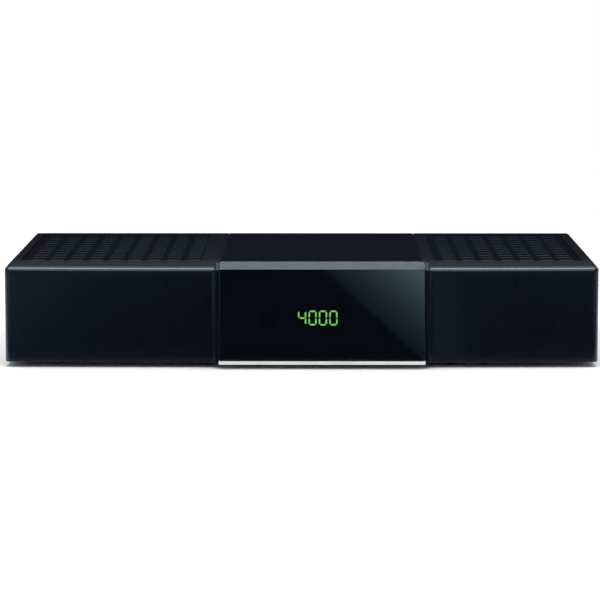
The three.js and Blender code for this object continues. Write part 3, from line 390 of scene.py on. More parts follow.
materialSettings = {
    # the wing plastic and the top plastic below are copies of one moulding's plastic, split to set how bright
    # their reflections render: the wings reflect strongly, a painted highlight along the fillet
    "housing_plastic": {"colour": (0.0008, 0.0017, 0.0066), "variation": 0.06,
        "roughness": (0.26, 0.32), "grain": 2600, "depth": 0.007, "specular": 1.0,
        "sheenTint": (0.58, 0.78, 1.0)},
    # the top, sides and back: a copy with weaker, differently tinted reflection and its own colour, painted
    # shade on those faces
    "housing_top_shaded": {"colour": (0.0020, 0.0026, 0.0054), "variation": 0.06, "roughness": (0.325, 0.385),
        "grain": 2600, "depth": 0.007, "specular": 0.55, "sheenTint": (0.7, 0.87, 1.0),
        "topSheen": (0.103, -42.0, 37.8)},
    "housing_smooth": {"colour": (0.0030, 0.0040, 0.0065), "variation": 0.06, "roughness": (0.15, 0.20),
        "grain": 2600, "depth": 0.002, "specular": 0.25, "sheenTint": (0.65, 0.88, 1.0)},
    # slot walls: a darker, bluer, less glossy copy of the smooth finish, painted shade in the slots
    "housing_slot_shaded": {"colour": (0.0024, 0.0038, 0.0062), "variation": 0.06, "roughness": (0.15, 0.20),
        "grain": 2600, "depth": 0.002, "specular": 0.22, "sheenTint": (0.48, 0.82, 1.0)},
    "base_plastic": {"colour": (0.006, 0.0065, 0.0075), "variation": 0.08, "roughness": (0.45, 0.56),
        "grain": 1800, "depth": 0.03},
    "foot_rubber": {"colour": (0.011, 0.011, 0.012), "variation": 0.15, "roughness": (0.72, 0.86),
        "grain": 1500, "depth": 0.04, "specular": 0.4},
    "bezel_plastic": {"colour": (0.0044, 0.0062, 0.0105), "variation": 0.04, "roughness": (0.22, 0.27),
        "grain": 2400, "depth": 0.003, "specular": 0.19, "sheenTint": (0.5, 0.78, 1.0)},
    "silver_trim": {"colour": (0.86, 0.95, 0.96), "metallic": 0.12, "roughness": (0.3, 0.38),
        "grain": 900, "stretch": (0.03, 1, 1), "depth": 0.002},
    "display_plastic": {"colour": (0.004, 0.005, 0.005), "variation": 0.05, "roughness": (0.5, 0.6),
        "grain": 1500, "depth": 0.01},
    "sensor_plastic": {"colour": (0.020, 0.022, 0.032), "variation": 0.05, "roughness": (0.2, 0.3),
        "grain": 1500, "depth": 0.003},
}

makeFinishes(materialSettings)


# Upper housing: one moulding with the top, the sides and both front wings

housingValues = {
    "wall": 2.0,
    "bow": 1.2,             # how far each wing's outer end falls back
    "bowSteps": 14,
    "cornerRadius": 2.4,
    "topRadius": 1.8,
    "crownReach": 19,       # the top dips and the front leans back a little towards their shared edge
    "crownDrop": 0.3,
    "crownFall": 6,
    "crownLean": 0.26,
    "bands": 7,             # how finely the top and the front are divided for it
    "bandPitches": (2.1, 0.6),
    "notchDepth": 2.6,
    "notchGap": 0.12,
    "sweepReach": 1.6,      # where the wings meet the frame
    "sweepRise": 0.55,
    "sweepBack": 1.5,
    "sweepCuts": 8,
    "grooveWidth": 0.4,
    "grooveDepth": 0.3,
    "postPlaces": ((-98, -50.7), (98, -50.7), (-98, 51.9), (98, 51.9)),
    "postRadius": 2.8,
    "postFoot": 7,
    "pilotRadius": 1.5,
    "pilotReach": (5, 19),
    "panelPilotReach": (-5, 2),
    "cornerBlock": 6.2,
    "cornerBlockLength": 7,
}

fieldValues = {
    "front": 19.8,          # behind the foremost line of the wings
    "rearMargin": 6,
    "leftMargin": 4.1,
    "rightMargin": 4.7,
    "leftStrip": 7.6,       # plain strips between the window's lines and the fields
    "rightStrip": 4.5,
    "recess": 0.5,
    "recessCorner": 0.8,
    "slotWidth": 4.9,
    "slotBridge": 2.47,
    "slotLength": 4.2,
    "rowBridge": 4.2,
    "slotMargin": 3.5,
    "rowMargin": 2.1,
    "slopeRun": 0.16,
    "edgeRound": 0.05,
}

caseLow, caseHigh = nodeBox("upper_housing")
panelFace = nodeBox("rear_panel")[0].y
glassLow, glassHigh = nodeBox("smoked_window")
frameLow, frameHigh = nodeBox("bezel_frame")
frontLine, rearLine = caseLow.y, caseHigh.y


def wingLine(x, values):    # how far the front falls back at x
    left = max(0, (frameLow.x - x) / (frameLow.x - caseLow.x))
    right = max(0, (x - frameHigh.x) / (caseHigh.x - frameHigh.x))
    return values["bow"] * max(left, right) ** 2


def caseOutline(values, inset, z, rear):
    side = caseHigh.x - inset
    spots = []
    for start, end in ((-side, frameLow.x), (frameHigh.x, side)):
        for i in range(values["bowSteps"] + 1):
            x = start + (end - start) * i / values["bowSteps"]
            spots.append((x, frontLine + inset + wingLine(x, values), z))
    return spots + [(side, rear, z), (-side, rear, z)]


def outerShell(values):
    bm = bmesh.new()
    prism(bm, caseOutline(values, 0, caseLow.z, rearLine), (0, 0, caseHigh.z - caseLow.z))
    corners = [edge for edge in edgesAlong(bm, "z")
               if all(abs(vert.co.x) > caseHigh.x - hair and vert.co.y < 0 for vert in edge.verts)]
    bevelEdges(bm, corners, values["cornerRadius"], 8)
    rim = [edge for edge in bm.edges
           if all(vert.co.z > caseHigh.z - hair for vert in edge.verts)
           and not all(vert.co.y > rearLine - hair for vert in edge.verts)]
    bevelEdges(bm, rim, values["topRadius"], 9)
    back, down = values["bandPitches"]
    for i in range(1, values["bands"] + 1):
        cutAcross(bm, (0, frontLine + values["topRadius"] + i * back, 0), (0, 1, 0))
        cutAcross(bm, (0, 0, caseHigh.z - values["topRadius"] - i * down), (0, 0, 1))
    for vert in bm.verts:
        high = max(0, 1 - (caseHigh.z - vert.co.z) / values["crownFall"])
        near = max(0, 1 - (vert.co.y - frontLine) / values["crownReach"])
        vert.co.z -= values["crownDrop"] * near ** 2 * high
        vert.co.y += values["crownLean"] * high ** 2 * near
    return bm


def slotTools(values, x0, x1, tool, roof):    # tools for all slots of one field
    floor = caseHigh.z - values["recess"]
    rear = rearLine - values["rearMargin"]
    pitchX = values["slotWidth"] + values["slotBridge"]
    pitchY = values["slotLength"] + values["rowBridge"]
    fieldFront = frontLine + values["front"]
    columns = int((x1 - x0 - values["slotMargin"] + values["slotBridge"]) // pitchX)
    rows = int((rear - fieldFront - values["rowMargin"] + values["rowBridge"]) // pitchY)
    under, slope = roof - 1.5, values["slopeRun"]
    for row in range(rows):
        near = fieldFront + values["rowMargin"] + row * pitchY
        far = near + values["slotLength"]
        for column in range(columns):
            left = x0 + values["slotMargin"] + column * pitchX
            sideways(tool, "x", [(near, under), (far - slope, under), (far - slope, floor - slope),
                                 (far, floor), (far, floor + 0.3), (near, floor + 0.3)],
                     left, left + values["slotWidth"])
    return rows * columns


def recessTool(values, x0, x1, tool):
    made = boxBetween(
        tool, (x0, frontLine + values["front"], caseHigh.z - values["recess"]),
        (x1, rearLine - values["rearMargin"], caseHigh.z + 1))
    upright = [edge for edge in edgesAlong(tool, "z", 0.5) if all(vert in made for vert in edge.verts)]
    bevelEdges(tool, upright, values["recessCorner"], 4)


def sweepToFrame(bm, values):    # beside the frame the wings come forward in a hollow curve
    reach, cuts = values["sweepReach"], values["sweepCuts"]
    ends = ((-1, frameLow.x - values["notchGap"]), (1, frameHigh.x + values["notchGap"]))
    for side, end in ends:
        for i in range(1, cuts + 1):
            cutAcross(bm, (end + side * reach * i / cuts, 0, 0), (1, 0, 0))
    for vert in bm.verts:
        near = min(1, max(0, 1.15 - (vert.co.y - frontLine) / values["sweepBack"]))
        for side, end in ends:
            share = 1 - (vert.co.x - end) * side / reach
            if 0 < share < 1.001 and near > 0:
                vert.co.y -= values["sweepRise"] * share ** 2 * near


def makeHousing(values, field):
    bm = outerShell(values)
    cavity = bmesh.new()
    prism(cavity, caseOutline(values, values["wall"], caseLow.z - 4, rearLine + 4),
          (0, 0, caseHigh.z - values["wall"] - caseLow.z + 4))
    bm = carve(bm, cavity)
    bm = carve(bm, boxShape(
        (frameLow.x - values["notchGap"], frontLine - 3, caseLow.z - 2),
        (frameHigh.x + values["notchGap"], frontLine + values["notchDepth"], caseHigh.z + 4)))
    sweepToFrame(bm, values)

    posts = bmesh.new()
    roof = caseHigh.z - values["wall"]
    for x, y in values["postPlaces"]:
        rodBetween(posts, "z", (x, y, 0), values["postRadius"], values["postFoot"], roof + 0.5, 20)
    for side in (-1, 1):
        wall = side * (caseHigh.x - values["wall"])
        ends = sorted((wall + side * 0.5, wall - side * values["cornerBlock"]))
        boxBetween(posts, (ends[0], panelFace - values["cornerBlockLength"], roof - values["cornerBlock"]),
                   (ends[1], panelFace, roof + 0.5))
    bm = carve(bm, posts, "UNION")
    pilots = bmesh.new()
    for x, y in values["postPlaces"]:
        rodBetween(pilots, "z", (x, y, 0), values["pilotRadius"], *values["pilotReach"], 16)
    ahead, past = (panelFace + reach for reach in values["panelPilotReach"])
    for name in ("panel_screw_a", "panel_screw_b"):
        rodBetween(pilots, "y", nodeMiddle(name), values["pilotRadius"], ahead, past, 16)
    bm = carve(bm, pilots)

    fields = ((caseLow.x + field["leftMargin"], glassLow.x - field["leftStrip"]),
              (glassHigh.x + field["rightStrip"], caseHigh.x - field["rightMargin"]))
    hollows = bmesh.new()
    for x in (glassLow.x, glassHigh.x):
        half = values["grooveWidth"] / 2
        boxBetween(hollows, (x - half, frontLine - 1, caseHigh.z - values["grooveDepth"]),
                   (x + half, rearLine + 1, caseHigh.z + 1))
    for x0, x1 in fields:
        recessTool(field, x0, x1, hollows)
    bm = carve(bm, hollows)
    slots = bmesh.new()
    count = sum(slotTools(field, x0, x1, slots, roof) for x0, x1 in fields)
    bm = carve(bm, slots)
    floor = caseHigh.z - field["recess"]
    mouths = [edge for edge in sharpEdges(bm, 20)
              if all(abs(vert.co.z - floor) < hair for vert in edge.verts)
              and all(any(x0 + 1 < vert.co.x < x1 - 0.6 for x0, x1 in fields) for vert in edge.verts)
              and all(vert.co.y > frontLine + field["front"] + 1 for vert in edge.verts)]
    bmesh.ops.bevel(bm, geom=mouths, offset=field["edgeRound"], offset_type="OFFSET", segments=2,
                    profile=0.5, affect="EDGES", clamp_overlap=False, material=-1)
    skins = ["housing_plastic", "housing_smooth", "housing_slot_shaded", "housing_top_shaded"]
    for face in bm.faces:    # slot walls; fields and middle band; top, sides and back, in a less glossy copy of the wing plastic that paints shade there; the rest is wing
        spot = face.calc_center_median()
        inField = roof - 0.1 < spot.z < floor + 0.1 and any(
            x0 - 0.1 < spot.x < x1 + 0.1 for x0, x1 in fields) and (
            frontLine + field["front"] - 0.1 < spot.y < rearLine - field["rearMargin"] + 0.1)
        onBand = glassLow.x < spot.x < glassHigh.x and spot.z > caseHigh.z - 0.05
        onTop = face.normal.z > 0.97 and spot.z > caseHigh.z - 0.6
        behind = face.normal.y > -0.03 and face.normal.z < 0.03
        # the slot walls take the darker copy, painted shade
        if inField and face.normal.z < 0.95:
            skin = "housing_slot_shaded"
        elif inField or onBand:
            skin = "housing_smooth"
        else:
            skin = "housing_top_shaded" if onTop or behind else "housing_plastic"
        face.material_index = skins.index(skin)
    print("housing slots:", count, "faces:", len(bm.faces))
    settle("upper_housing_shell", bm, skins, ["upper_housing"], smooth=28, weight=50)


makeHousing(housingValues, fieldValues)


# Bezel frame, window and silver strip

frontValues = {
    "frameCorner": 0.4,
    "frameEdge": 0.35,
    "frameTopEdge": 2.7,
    "frameBack": 2.3,
    "windowBack": -1.8,
    "lipReach": 2.0,
    "lipThickness": 2.9,
    "chamfer": 2.6,
    "pocketGap": 0.15,
    "windowEdge": 0.14,
    "windowDrop": 0.28,     # how much lower than its solid the window reaches, into the strip
    "trimChamfer": 0.4,
    "trimEdge": 0.12,
    "moduleGap": 0.3,
    "postRadius": 2.6,
    "pilotRadius": 1.5,
    "pilotDepth": 7.2,
}

plateLow, plateHigh = nodeBox("segment_face")
eyeLow, eyeHigh = nodeBox("ir_receiver")
trimLow, trimHigh = nodeBox("silver_trim")


def makeFrame(values):
    back = frontLine + values["frameBack"]
    bm = boxShape(frameLow, (frameHigh.x, back, frameHigh.z))
    brow = [edge for edge in bm.edges if all(
        vert.co.y < frameLow.y + hair and vert.co.z > frameHigh.z - hair for vert in edge.verts)]
    bevelEdges(bm, brow, values["frameTopEdge"], 1)
    middle = nodeMiddle("bezel_frame").x
    corners = [edge for edge in sharpEdges(bm)
               if abs(edge.verts[0].co.y - edge.verts[1].co.y) > 1
               and all(abs(vert.co.x - middle) > 10 for vert in edge.verts)]
    bevelEdges(bm, corners, values["frameCorner"], 3)
    rim = [edge for edge in sharpEdges(bm) if all(vert.co.y < frameLow.y + hair for vert in edge.verts)]
    bevelEdges(bm, rim, values["frameEdge"], 4)
    screws = ("display_screw_a", "display_screw_b")
    posts = bmesh.new()
    for name in screws:
        rodBetween(posts, "y", nodeMiddle(name), values["postRadius"], back - 0.3,
                   nodeBox("display_board")[0].y, 24)
    bm = carve(bm, posts, "UNION")
    gap = values["pocketGap"]
    windowBack = frontLine + values["windowBack"]
    trimTop = glassLow.z - values["windowDrop"] - gap / 2
    lipBottom = glassHigh.z - values["lipThickness"] - gap
    ahead, above = frameLow.y - 2, frameHigh.z + 5
    bm = carve(bm, boxShape((glassLow.x - gap, ahead, trimTop), (glassHigh.x + gap, windowBack, above)))
    hollow = boxShape((glassLow.x - gap, ahead, lipBottom), (glassHigh.x + gap, back + 2, above))
    boxBetween(hollow, (trimLow.x - gap, ahead, 0), (trimHigh.x + gap, windowBack, trimTop - 0.001))
    bm = carve(bm, hollow)
    hollow = bmesh.new()
    for low, high in ((plateLow, plateHigh), (eyeLow, eyeHigh)):
        room = values["moduleGap"]
        boxBetween(hollow, (low.x - room, ahead, low.z - room), (high.x + room, back + 1, high.z + room))
    for name in screws:
        head = nodeBox(name)[1].y
        rodBetween(hollow, "y", nodeMiddle(name), values["pilotRadius"],
                   head - values["pilotDepth"], head + 3, 16)
    bm = carve(bm, hollow)
    settle("bezel_frame_moulding", bm, "bezel_plastic", ["bezel_frame"])


def makeWindow(values):
    bm = bmesh.new()
    front = glassLow.y
    back = frontLine + values["windowBack"]
    lip = glassHigh.z - values["lipThickness"]
    reach = frontLine + values["lipReach"]
    bottom, top, cut = glassLow.z - values["windowDrop"], glassHigh.z, values["chamfer"]
    sideways(bm, "x", [(front, bottom), (back, bottom), (back, lip), (reach, lip), (reach, top),
                       (front + cut, top), (front, top - cut)], glassLow.x, glassHigh.x)
    bevelEdges(bm, sharpEdges(bm), values["windowEdge"], 3)
    bm.normal_update()
    for face in bm.faces:    # the slanting top edge takes a copy of the window finish with weaker, retinted reflection: painted shade that dims its highlight
        face.material_index = 1 if face.normal.z > 0.6 and face.normal.y < -0.6 else 0
    settle("smoked_window_lens", bm, ["smoked_window", "smoked_window_edge_dimmed"], ["smoked_window"], smooth=20)


def makeTrim(values):
    bm = bmesh.new()
    cut, front, bottom = values["trimChamfer"], trimLow.y, trimLow.z
    back, top = frontLine + values["windowBack"], trimHigh.z - values["windowDrop"]
    sideways(bm, "x", [(front, bottom + cut), (front + cut, bottom), (back, bottom), (back, top),
                       (front, top)], trimLow.x, trimHigh.x)
    bevelEdges(bm, sharpEdges(bm), values["trimEdge"], 3)
    settle("silver_trim_strip", bm, "silver_trim", ["silver_trim"])


windowFinish = {
    "colour": (0.0028, 0.0042, 0.0088),
    "alpha": 0.68,
    "roughness": (0.012, 0.03),
    "specular": 1.0,
    "ior": 1.7,
    "sheenTint": (0.68, 0.89, 1.0),
    "clouds": 35,
    "waves": 25,
    "waveDepth": 0.002,
}

# the same acrylic with weaker, retinted reflection for the slanting top edge, painted shade on its highlight
windowEdgeDimmed = {**windowFinish, "ior": 1.5, "specular": 0.47, "sheenTint": (0.57, 0.8, 1.0)}


def smokedAcrylic(name, settings):
    tree, shader, place = startMaterial(name)
    clouds = noiseOf(tree, place, settings["clouds"], 3)
    feed(tree, shader, {
        "Base Color": patchedColour(tree, clouds, settings["colour"], 0.96, 1.04),
        "Roughness": spread(tree, clouds, *settings["roughness"]),
        "Alpha": settings["alpha"],
        "IOR": settings["ior"],
        "Specular IOR Level": settings["specular"],
        "Specular Tint": (*settings["sheenTint"], 1)})
    addBump(tree, shader, noiseOf(tree, place, settings["waves"], 1), settings["waveDepth"])


smokedAcrylic("smoked_window", windowFinish)
smokedAcrylic("smoked_window_edge_dimmed", windowEdgeDimmed)
makeFrame(frontValues)
makeWindow(frontValues)
makeTrim(frontValues)
print("front made")


# Four-digit display behind the window

digitValues = {
    "shown": "4000",
    "height": 5.55,
    "width": 3.05,
    "pitch": 3.85,
    "stroke": 0.54,
    "split": 0.42,
    "centre": (6.0, 18.76),
    "relief": 0.3,
    "plate": 0.4,
    "lit": (0.26, 0.75, 0.155),
    "strength": 8.0,
    "litBase": (0.02, 0.06, 0.02),
    "litRoughness": (0.45, 0.55),
    "unlit": (0.006, 0.011, 0.007),
    "plateColour": (0.0035, 0.006, 0.0045),
}

litBars = {    # top, middle, bottom, upper left, upper right, lower left, lower right
    "0": (0, 2, 3, 4, 5, 6),
    "4": (1, 3, 4, 6),
}


def barShape(bm, x, z, length, upright, values):
    half = length / 2
    thick = values["stroke"] / 2
    points = [(-half, 0), (thick - half, thick), (half - thick, thick),
              (half, 0), (half - thick, -thick), (thick - half, -thick)]
    front = plateLow.y
    placed = [(x - b, z + a) if upright else (x + a, z + b) for a, b in points]
    before = set(bm.edges)
    sideways(bm, "y", placed, front, front + values["relief"] + 0.2)
    rim = [edge for edge in bm.edges if edge not in before
           and all(vert.co.y < front + hair for vert in edge.verts)]
    bevelEdges(bm, rim, 0.06, 2)


def digitBars(x, values):
    level = values["width"] - values["stroke"] - values["split"]
    upright = (values["height"] - values["stroke"]) / 2 - values["split"]
    dx = (values["width"] - values["stroke"]) / 2
    dz = (values["height"] - values["stroke"]) / 2
    z = values["centre"][1]
    return [(x, z + dz, level, False), (x, z, level, False), (x, z - dz, level, False),
            (x - dx, z + dz / 2, upright, True), (x + dx, z + dz / 2, upright, True),
            (x - dx, z - dz / 2, upright, True), (x + dx, z - dz / 2, upright, True)]


def glowMaterial(settings):
    tree, shader, place = startMaterial("lit_segments")
    grain = noiseOf(tree, place, 3000, 2)
    feed(tree, shader, {
        "Base Color": (*settings["litBase"], 1),
        "Roughness": spread(tree, grain, *settings["litRoughness"]),
        "Emission Color": (*settings["lit"], 1),
        "Emission Strength": settings["strength"]})
    addBump(tree, shader, grain, 0.01)


def makeDisplay(values):
    lit, dark = bmesh.new(), bmesh.new()
    for i, figure in enumerate(values["shown"]):
        x = values["centre"][0] + (i - (len(values["shown"]) - 1) / 2) * values["pitch"]
        for number, bar in enumerate(digitBars(x, values)):
            barShape(lit if number in litBars[figure] else dark, *bar, values)
    back = plateHigh.y
    plate = boxShape((plateLow.x, back - values["plate"], plateLow.z), (plateHigh.x, back, plateHigh.z))
    rim = [edge for edge in sharpEdges(plate) if all(vert.co.y < back - 0.1 for vert in edge.verts)]
    bevelEdges(plate, rim, 0.15, 3)
    plain = {"variation": 0.05, "roughness": (0.4, 0.5), "grain": 2000, "depth": 0.004}
    mouldedPlastic("display_face", {"colour": values["plateColour"], **plain})
    mouldedPlastic("unlit_segments", {"colour": values["unlit"], **plain})
    glowMaterial(values)
    settle("display_lit_bars", lit, "lit_segments")
    settle("display_dark_bars", dark, "unlit_segments")
    settle("display_face_plate", plate, "display_face", ["segment_face"])


makeDisplay(digitValues)
print("display made")


# Finishes of the fittings

fittingSettings = {
    "screw_steel": {"colour": (0.42, 0.42, 0.43), "metallic": 1.0, "roughness": (0.24, 0.36),
        "grain": 1500, "stretch": (1, 1, 0.2), "depth": 0.004},
    "tinned_metal": {"colour": (0.55, 0.56, 0.56), "metallic": 1.0, "roughness": (0.30, 0.38),
        "grain": 1200, "stretch": (1, 0.15, 1), "depth": 0.0015},
    "plated_metal": {"colour": (0.60, 0.60, 0.58), "metallic": 1.0, "roughness": (0.20, 0.28),
        "grain": 1200, "stretch": (1, 0.2, 1), "depth": 0.0015},
    "gilt_contacts": {"colour": (0.72, 0.50, 0.20), "metallic": 1.0, "roughness": (0.18, 0.28),
        "grain": 1200, "stretch": (1, 0.2, 1), "depth": 0.002},
    "sink_aluminium": {"colour": (0.50, 0.51, 0.52), "metallic": 1.0, "roughness": (0.32, 0.44),
        "grain": 1400, "stretch": (1, 0.05, 1), "depth": 0.006},
    "panel_paint": {"colour": (0.010, 0.0105, 0.0115), "variation": 0.08, "roughness": (0.42, 0.54),
        "grain": 1400, "depth": 0.02},
    "chip_plastic": {"colour": (0.012, 0.012, 0.013), "variation": 0.1, "roughness": (0.5, 0.62),
        "grain": 3000, "depth": 0.008},
    "capacitor_sleeve": {"colour": (0.012, 0.016, 0.034), "variation": 0.06, "roughness": (0.28, 0.36),
        "grain": 700, "depth": 0.004},
    "sleeve_stripe": {"colour": (0.33, 0.34, 0.36), "variation": 0.05, "roughness": (0.3, 0.4),
        "grain": 700, "depth": 0.004},
    "ferrite": {"colour": (0.035, 0.034, 0.034), "variation": 0.12, "roughness": (0.6, 0.75),
        "grain": 2500, "depth": 0.02},
    "header_plastic": {"colour": (0.62, 0.58, 0.47), "variation": 0.05, "roughness": (0.4, 0.5),
        "grain": 1500, "depth": 0.006},
    "ribbon_plastic": {"colour": (0.60, 0.60, 0.58), "variation": 0.04, "roughness": (0.38, 0.46),
        "grain": 800, "depth": 0.01},
    "orange_plastic": {"colour": (0.60, 0.13, 0.012), "variation": 0.05, "roughness": (0.34, 0.44),
        "grain": 1800, "depth": 0.008},
    "socket_plastic": {"colour": (0.010, 0.010, 0.011), "variation": 0.08, "roughness": (0.36, 0.46),
        "grain": 1800, "depth": 0.010},
    "rocker_plastic": {"colour": (0.012, 0.012, 0.013), "variation": 0.06, "roughness": (0.24, 0.32),
        "grain": 1800, "depth": 0.004},
    "mark_paint": {"colour": (0.70, 0.71, 0.71), "variation": 0.03, "roughness": (0.42, 0.5),
        "grain": 2200, "depth": 0.002},
    "resistor_body": {"colour": (0.020, 0.019, 0.018), "variation": 0.1, "roughness": (0.4, 0.5),
        "grain": 3000, "depth": 0.004},
}

makeFinishes(fittingSettings)

boardSettings = {
    "mask": (0.010, 0.062, 0.022),
    "maskDark": (0.008, 0.048, 0.018),
    "track": (0.022, 0.105, 0.038),
    "trackPitch": 0.9,
    "trackRun": 11,
    "trackWidth": 0.16,
    "roughness": (0.24, 0.34),
    "relief": 0.03,
    "clouds": 60,
    "patches": 120,         # where tracks run and where the board is bare
    "patchEdge": (0.47, 0.5),
}


def circuitBoard(name, settings, flat):    # long parallel tracks under a green mask
    tree, shader, place = startMaterial(name)
    turn = addNode(tree, "ShaderNodeMapping", {
        "Vector": place, "Scale": (1 / mm,) * 3, "Rotation": (0, 0, 0) if flat else (-pi / 2, 0, 0)})
    tracks = addNode(tree, "ShaderNodeTexBrick", {
        "Vector": turn.outputs["Vector"], "Scale": 1, "Brick Width": settings["trackRun"],
        "Row Height": settings["trackPitch"], "Mortar Size": settings["trackWidth"], "Mortar Smooth": 0.3})
    patches = spread(tree, noiseOf(tree, place, settings["patches"], 1), 0, 1, *settings["patchEdge"])
    drawn = calc(tree, "MULTIPLY", tracks.outputs["Fac"], patches)
    clouds = noiseOf(tree, place, settings["clouds"], 3)
    mask = blendColours(tree, clouds, (0.35, settings["maskDark"]), (0.65, settings["mask"]))
    feed(tree, shader, {
        "Base Color": mixColours(tree, drawn, mask, (*settings["track"], 1)),
        "Roughness": spread(tree, clouds, *settings["roughness"])})
    addBump(tree, shader, drawn, settings["relief"])


circuitBoard("circuit_board", boardSettings, True)
circuitBoard("display_circuit_board", boardSettings, False)


# Base tray, rear panel, boards and the parts that only need their edges broken

edgeValues = {    # node: (finish, edge width)
    "base_chassis": ("base_plastic", 0.2),
    "rear_panel": ("panel_paint", 0.14),
    "main_board": ("circuit_board", 0.08),
    "display_board": ("display_circuit_board", 0.08),
    "digit_module": ("display_plastic", 0.2),
    "ir_receiver": ("sensor_plastic", 0.08),
}


def makeEdged(values):
    for node, (finish, width) in values.items():
        bm = cadCopy(node)
        bevelEdges(bm, sharpEdges(bm, 50), width, 2)
        settle(node + "_edged", bm, finish, [node], smooth=30)


makeEdged(edgeValues)
print("base, panel and boards made")


# Feet

footValues = {
    "rim": 0.7,
    "hollowRadius": 3.8,
    "hollowDepth": 0.45,
    "taper": 0.12,
}


def makeFeet(values):
    for letter in "abcd":
        low, high = nodeBox("foot_" + letter)
        radius, tall, rim = (high.x - low.x) / 2, high.z - low.z, values["rim"]
        hollow, deep = values["hollowRadius"], values["hollowDepth"]
        profile = [(0, deep), (hollow - 0.5, deep), (hollow, 0), (radius - rim, 0)]
        for i in range(1, 7):
            a = pi / 2 * i / 6
            profile.append((radius - rim + rim * sin(a), rim - rim * cos(a)))
        profile += [(radius - values["taper"], tall), (0, tall)]
        middle = nodeMiddle("foot_" + letter)
        bm = turned(profile, (middle.x, middle.y, low.z), "z", 48)
        settle("rubber_foot_" + letter, bm, "foot_rubber", ["foot_" + letter])


makeFeet(footValues)


# Pan-head screws with a cross recess

screwValues = {
    "headRadius": 2.5,
    "headHeight": 1.5,
    "headEdge": 0.55,
    "shank": 1.2,
    "core": 0.92,
    "pitch": 0.9,
    "recessHalf": 0.36,
    "recessReach": 1.5,
    "recessDepth": 0.85,
    "tip": 0.9,
}

screwPlaces = {    # the way each head points
    "base_screw": ("abcd", "-z"),
    "board_screw": ("abcd", "z"),
    "display_screw": ("ab", "y"),
    "panel_screw": ("ab", "y"),
}


def screwShape(length, values):    # head's top at the origin, shank pointing down
    radius, tall = values["headRadius"], values["headHeight"]
    profile = [(0, 0)]
    for i in range(1, 8):
        a = pi / 2 * i / 7
        profile.append((radius * sin(a), -(tall - values["headEdge"]) * (1 - cos(a))))
    profile += [(radius, 0.12 - tall), (radius - 0.12, -tall), (values["shank"], -tall)]
    pitch, level = values["pitch"], -tall
    while level - pitch > values["tip"] - length:
        profile += [(values["core"], level - 0.35 * pitch), (values["core"], level - 0.5 * pitch),
                    (values["shank"], level - 0.85 * pitch), (values["shank"], level - 0.97 * pitch)]
        level -= pitch
    profile += [(values["core"], values["tip"] - length), (0.3, -length), (0, -length)]
    bm = turned(profile, (0, 0, 0), "z", 28)
    tool = bmesh.new()
    prism(tool, crossOutline((0, 0), values["recessReach"], values["recessHalf"], -values["recessDepth"]),
          (0, 0, 2))
    return carve(bm, tool)


def makeScrews(values, places):
    for family, (letters, way) in places.items():
        for letter in letters:
            name = family + "_" + letter
            low, high = nodeBox(name)
            spot, axis = (low + high) / 2, "xyz".index(way[-1])
            bm = screwShape(high[axis] - low[axis], values)
            turnShape(bm, way)
            spot[axis] = low[axis] if way.startswith("-") else high[axis]
            bmesh.ops.translate(bm, vec=spot, verts=bm.verts)
            settle(name + "_cross", bm, "screw_steel", [name], smooth=40)


makeScrews(screwValues, screwPlaces)
print("feet and screws made")


# Wide audio and video socket

avValues = {
    "mouthWidth": 41.5,
    "mouthHeight": 11.4,
    "mouthDepth": 9.0,
    "slant": 5.0,
    "shieldGap": 1.3,
    "shieldInset": 0.1,
    "shieldThickness": 0.45,
    "shieldSunk": 0.35,
    "contactWidth": 1.0,
    "contactHeight": 2.6,
    "contactPitch": 3.6,
    "contactDepth": 4.5,
    "rowRise": 2.3,
    "blade": 0.4,
    "bladeRoot": 5,
    "bladeSunk": 0.9,
    "edge": 0.35,
    "rim": 0.16,
}


def avMouth(values, centre, inset, start, end):
    half, rise = values["mouthWidth"] / 2 - inset, values["mouthHeight"] / 2 - inset
    x, z = centre.x, centre.z
    bm = bmesh.new()
    sideways(bm, "y", [(x - half, z - rise), (x + half - values["slant"], z - rise), (x + half, z + rise),
                       (x - half, z + rise)], start, end)
    bevelEdges(bm, edgesAlong(bm, "y"), max(0.4, 1.1 - inset * 0.5), 4)
    return bm


def makeAvSocket(values):
    low, high = nodeBox("av_socket")
    centre, face = (low + high) / 2, high.y
    bottom = face - values["mouthDepth"]
    body = softBox(low, high, values["edge"], 3)
    ring = carve(avMouth(values, centre, 0, bottom, face + 2),
                 avMouth(values, centre, values["shieldGap"], bottom - 1, face + 3))
    body = carve(body, ring)
    inner = values["mouthWidth"] - 2 * values["shieldGap"] - 2 * values["slant"]
    perRow = int(inner // values["contactPitch"]) + 1
    slots, blades = bmesh.new(), bmesh.new()
    wide, tall, thick = values["contactWidth"] / 2, values["contactHeight"] / 2, values["blade"] / 2
    for side in (-1, 1):
        z = centre.z + side * values["rowRise"]
        for i in range(perRow):
            shift = (i - (perRow - 1) / 2 + side / 4) * values["contactPitch"]
            x = centre.x - values["slant"] / 4 + shift
            boxBetween(slots, (x - wide, face - values["contactDepth"], z - tall),
                       (x + wide, face + 2, z + tall))
            made = boxBetween(blades, (x - thick, face - values["bladeRoot"], z - tall + 0.15),
                              (x + thick, face - values["bladeSunk"], z + tall - 0.15))
            tips = [vert for vert in made if vert.co.y > face - 2]
            bmesh.ops.scale(blades, vec=(0.6, 1, 0.9), space=Matrix.Translation((-x, 0, -z)), verts=tips)
    body = carve(body, slots)
    bevelEdges(body, rimEdges(body, "y", face - hair), values["rim"], 2)
    shield = carve(
        avMouth(values, centre, values["shieldInset"], bottom - 0.3, face - values["shieldSunk"]),
        avMouth(values, centre, values["shieldInset"] + values["shieldThickness"], bottom - 1, face + 1))
    bevelEdges(shield, rimEdges(shield, "y", face - 1), 0.12, 2)
    settle("av_socket_body", body, "socket_plastic", ["av_socket"])
    settle("av_socket_shield", shield, "tinned_metal")
    settle("av_socket_blades", blades, "gilt_contacts")


makeAvSocket(avValues)


# Flat video socket and data socket

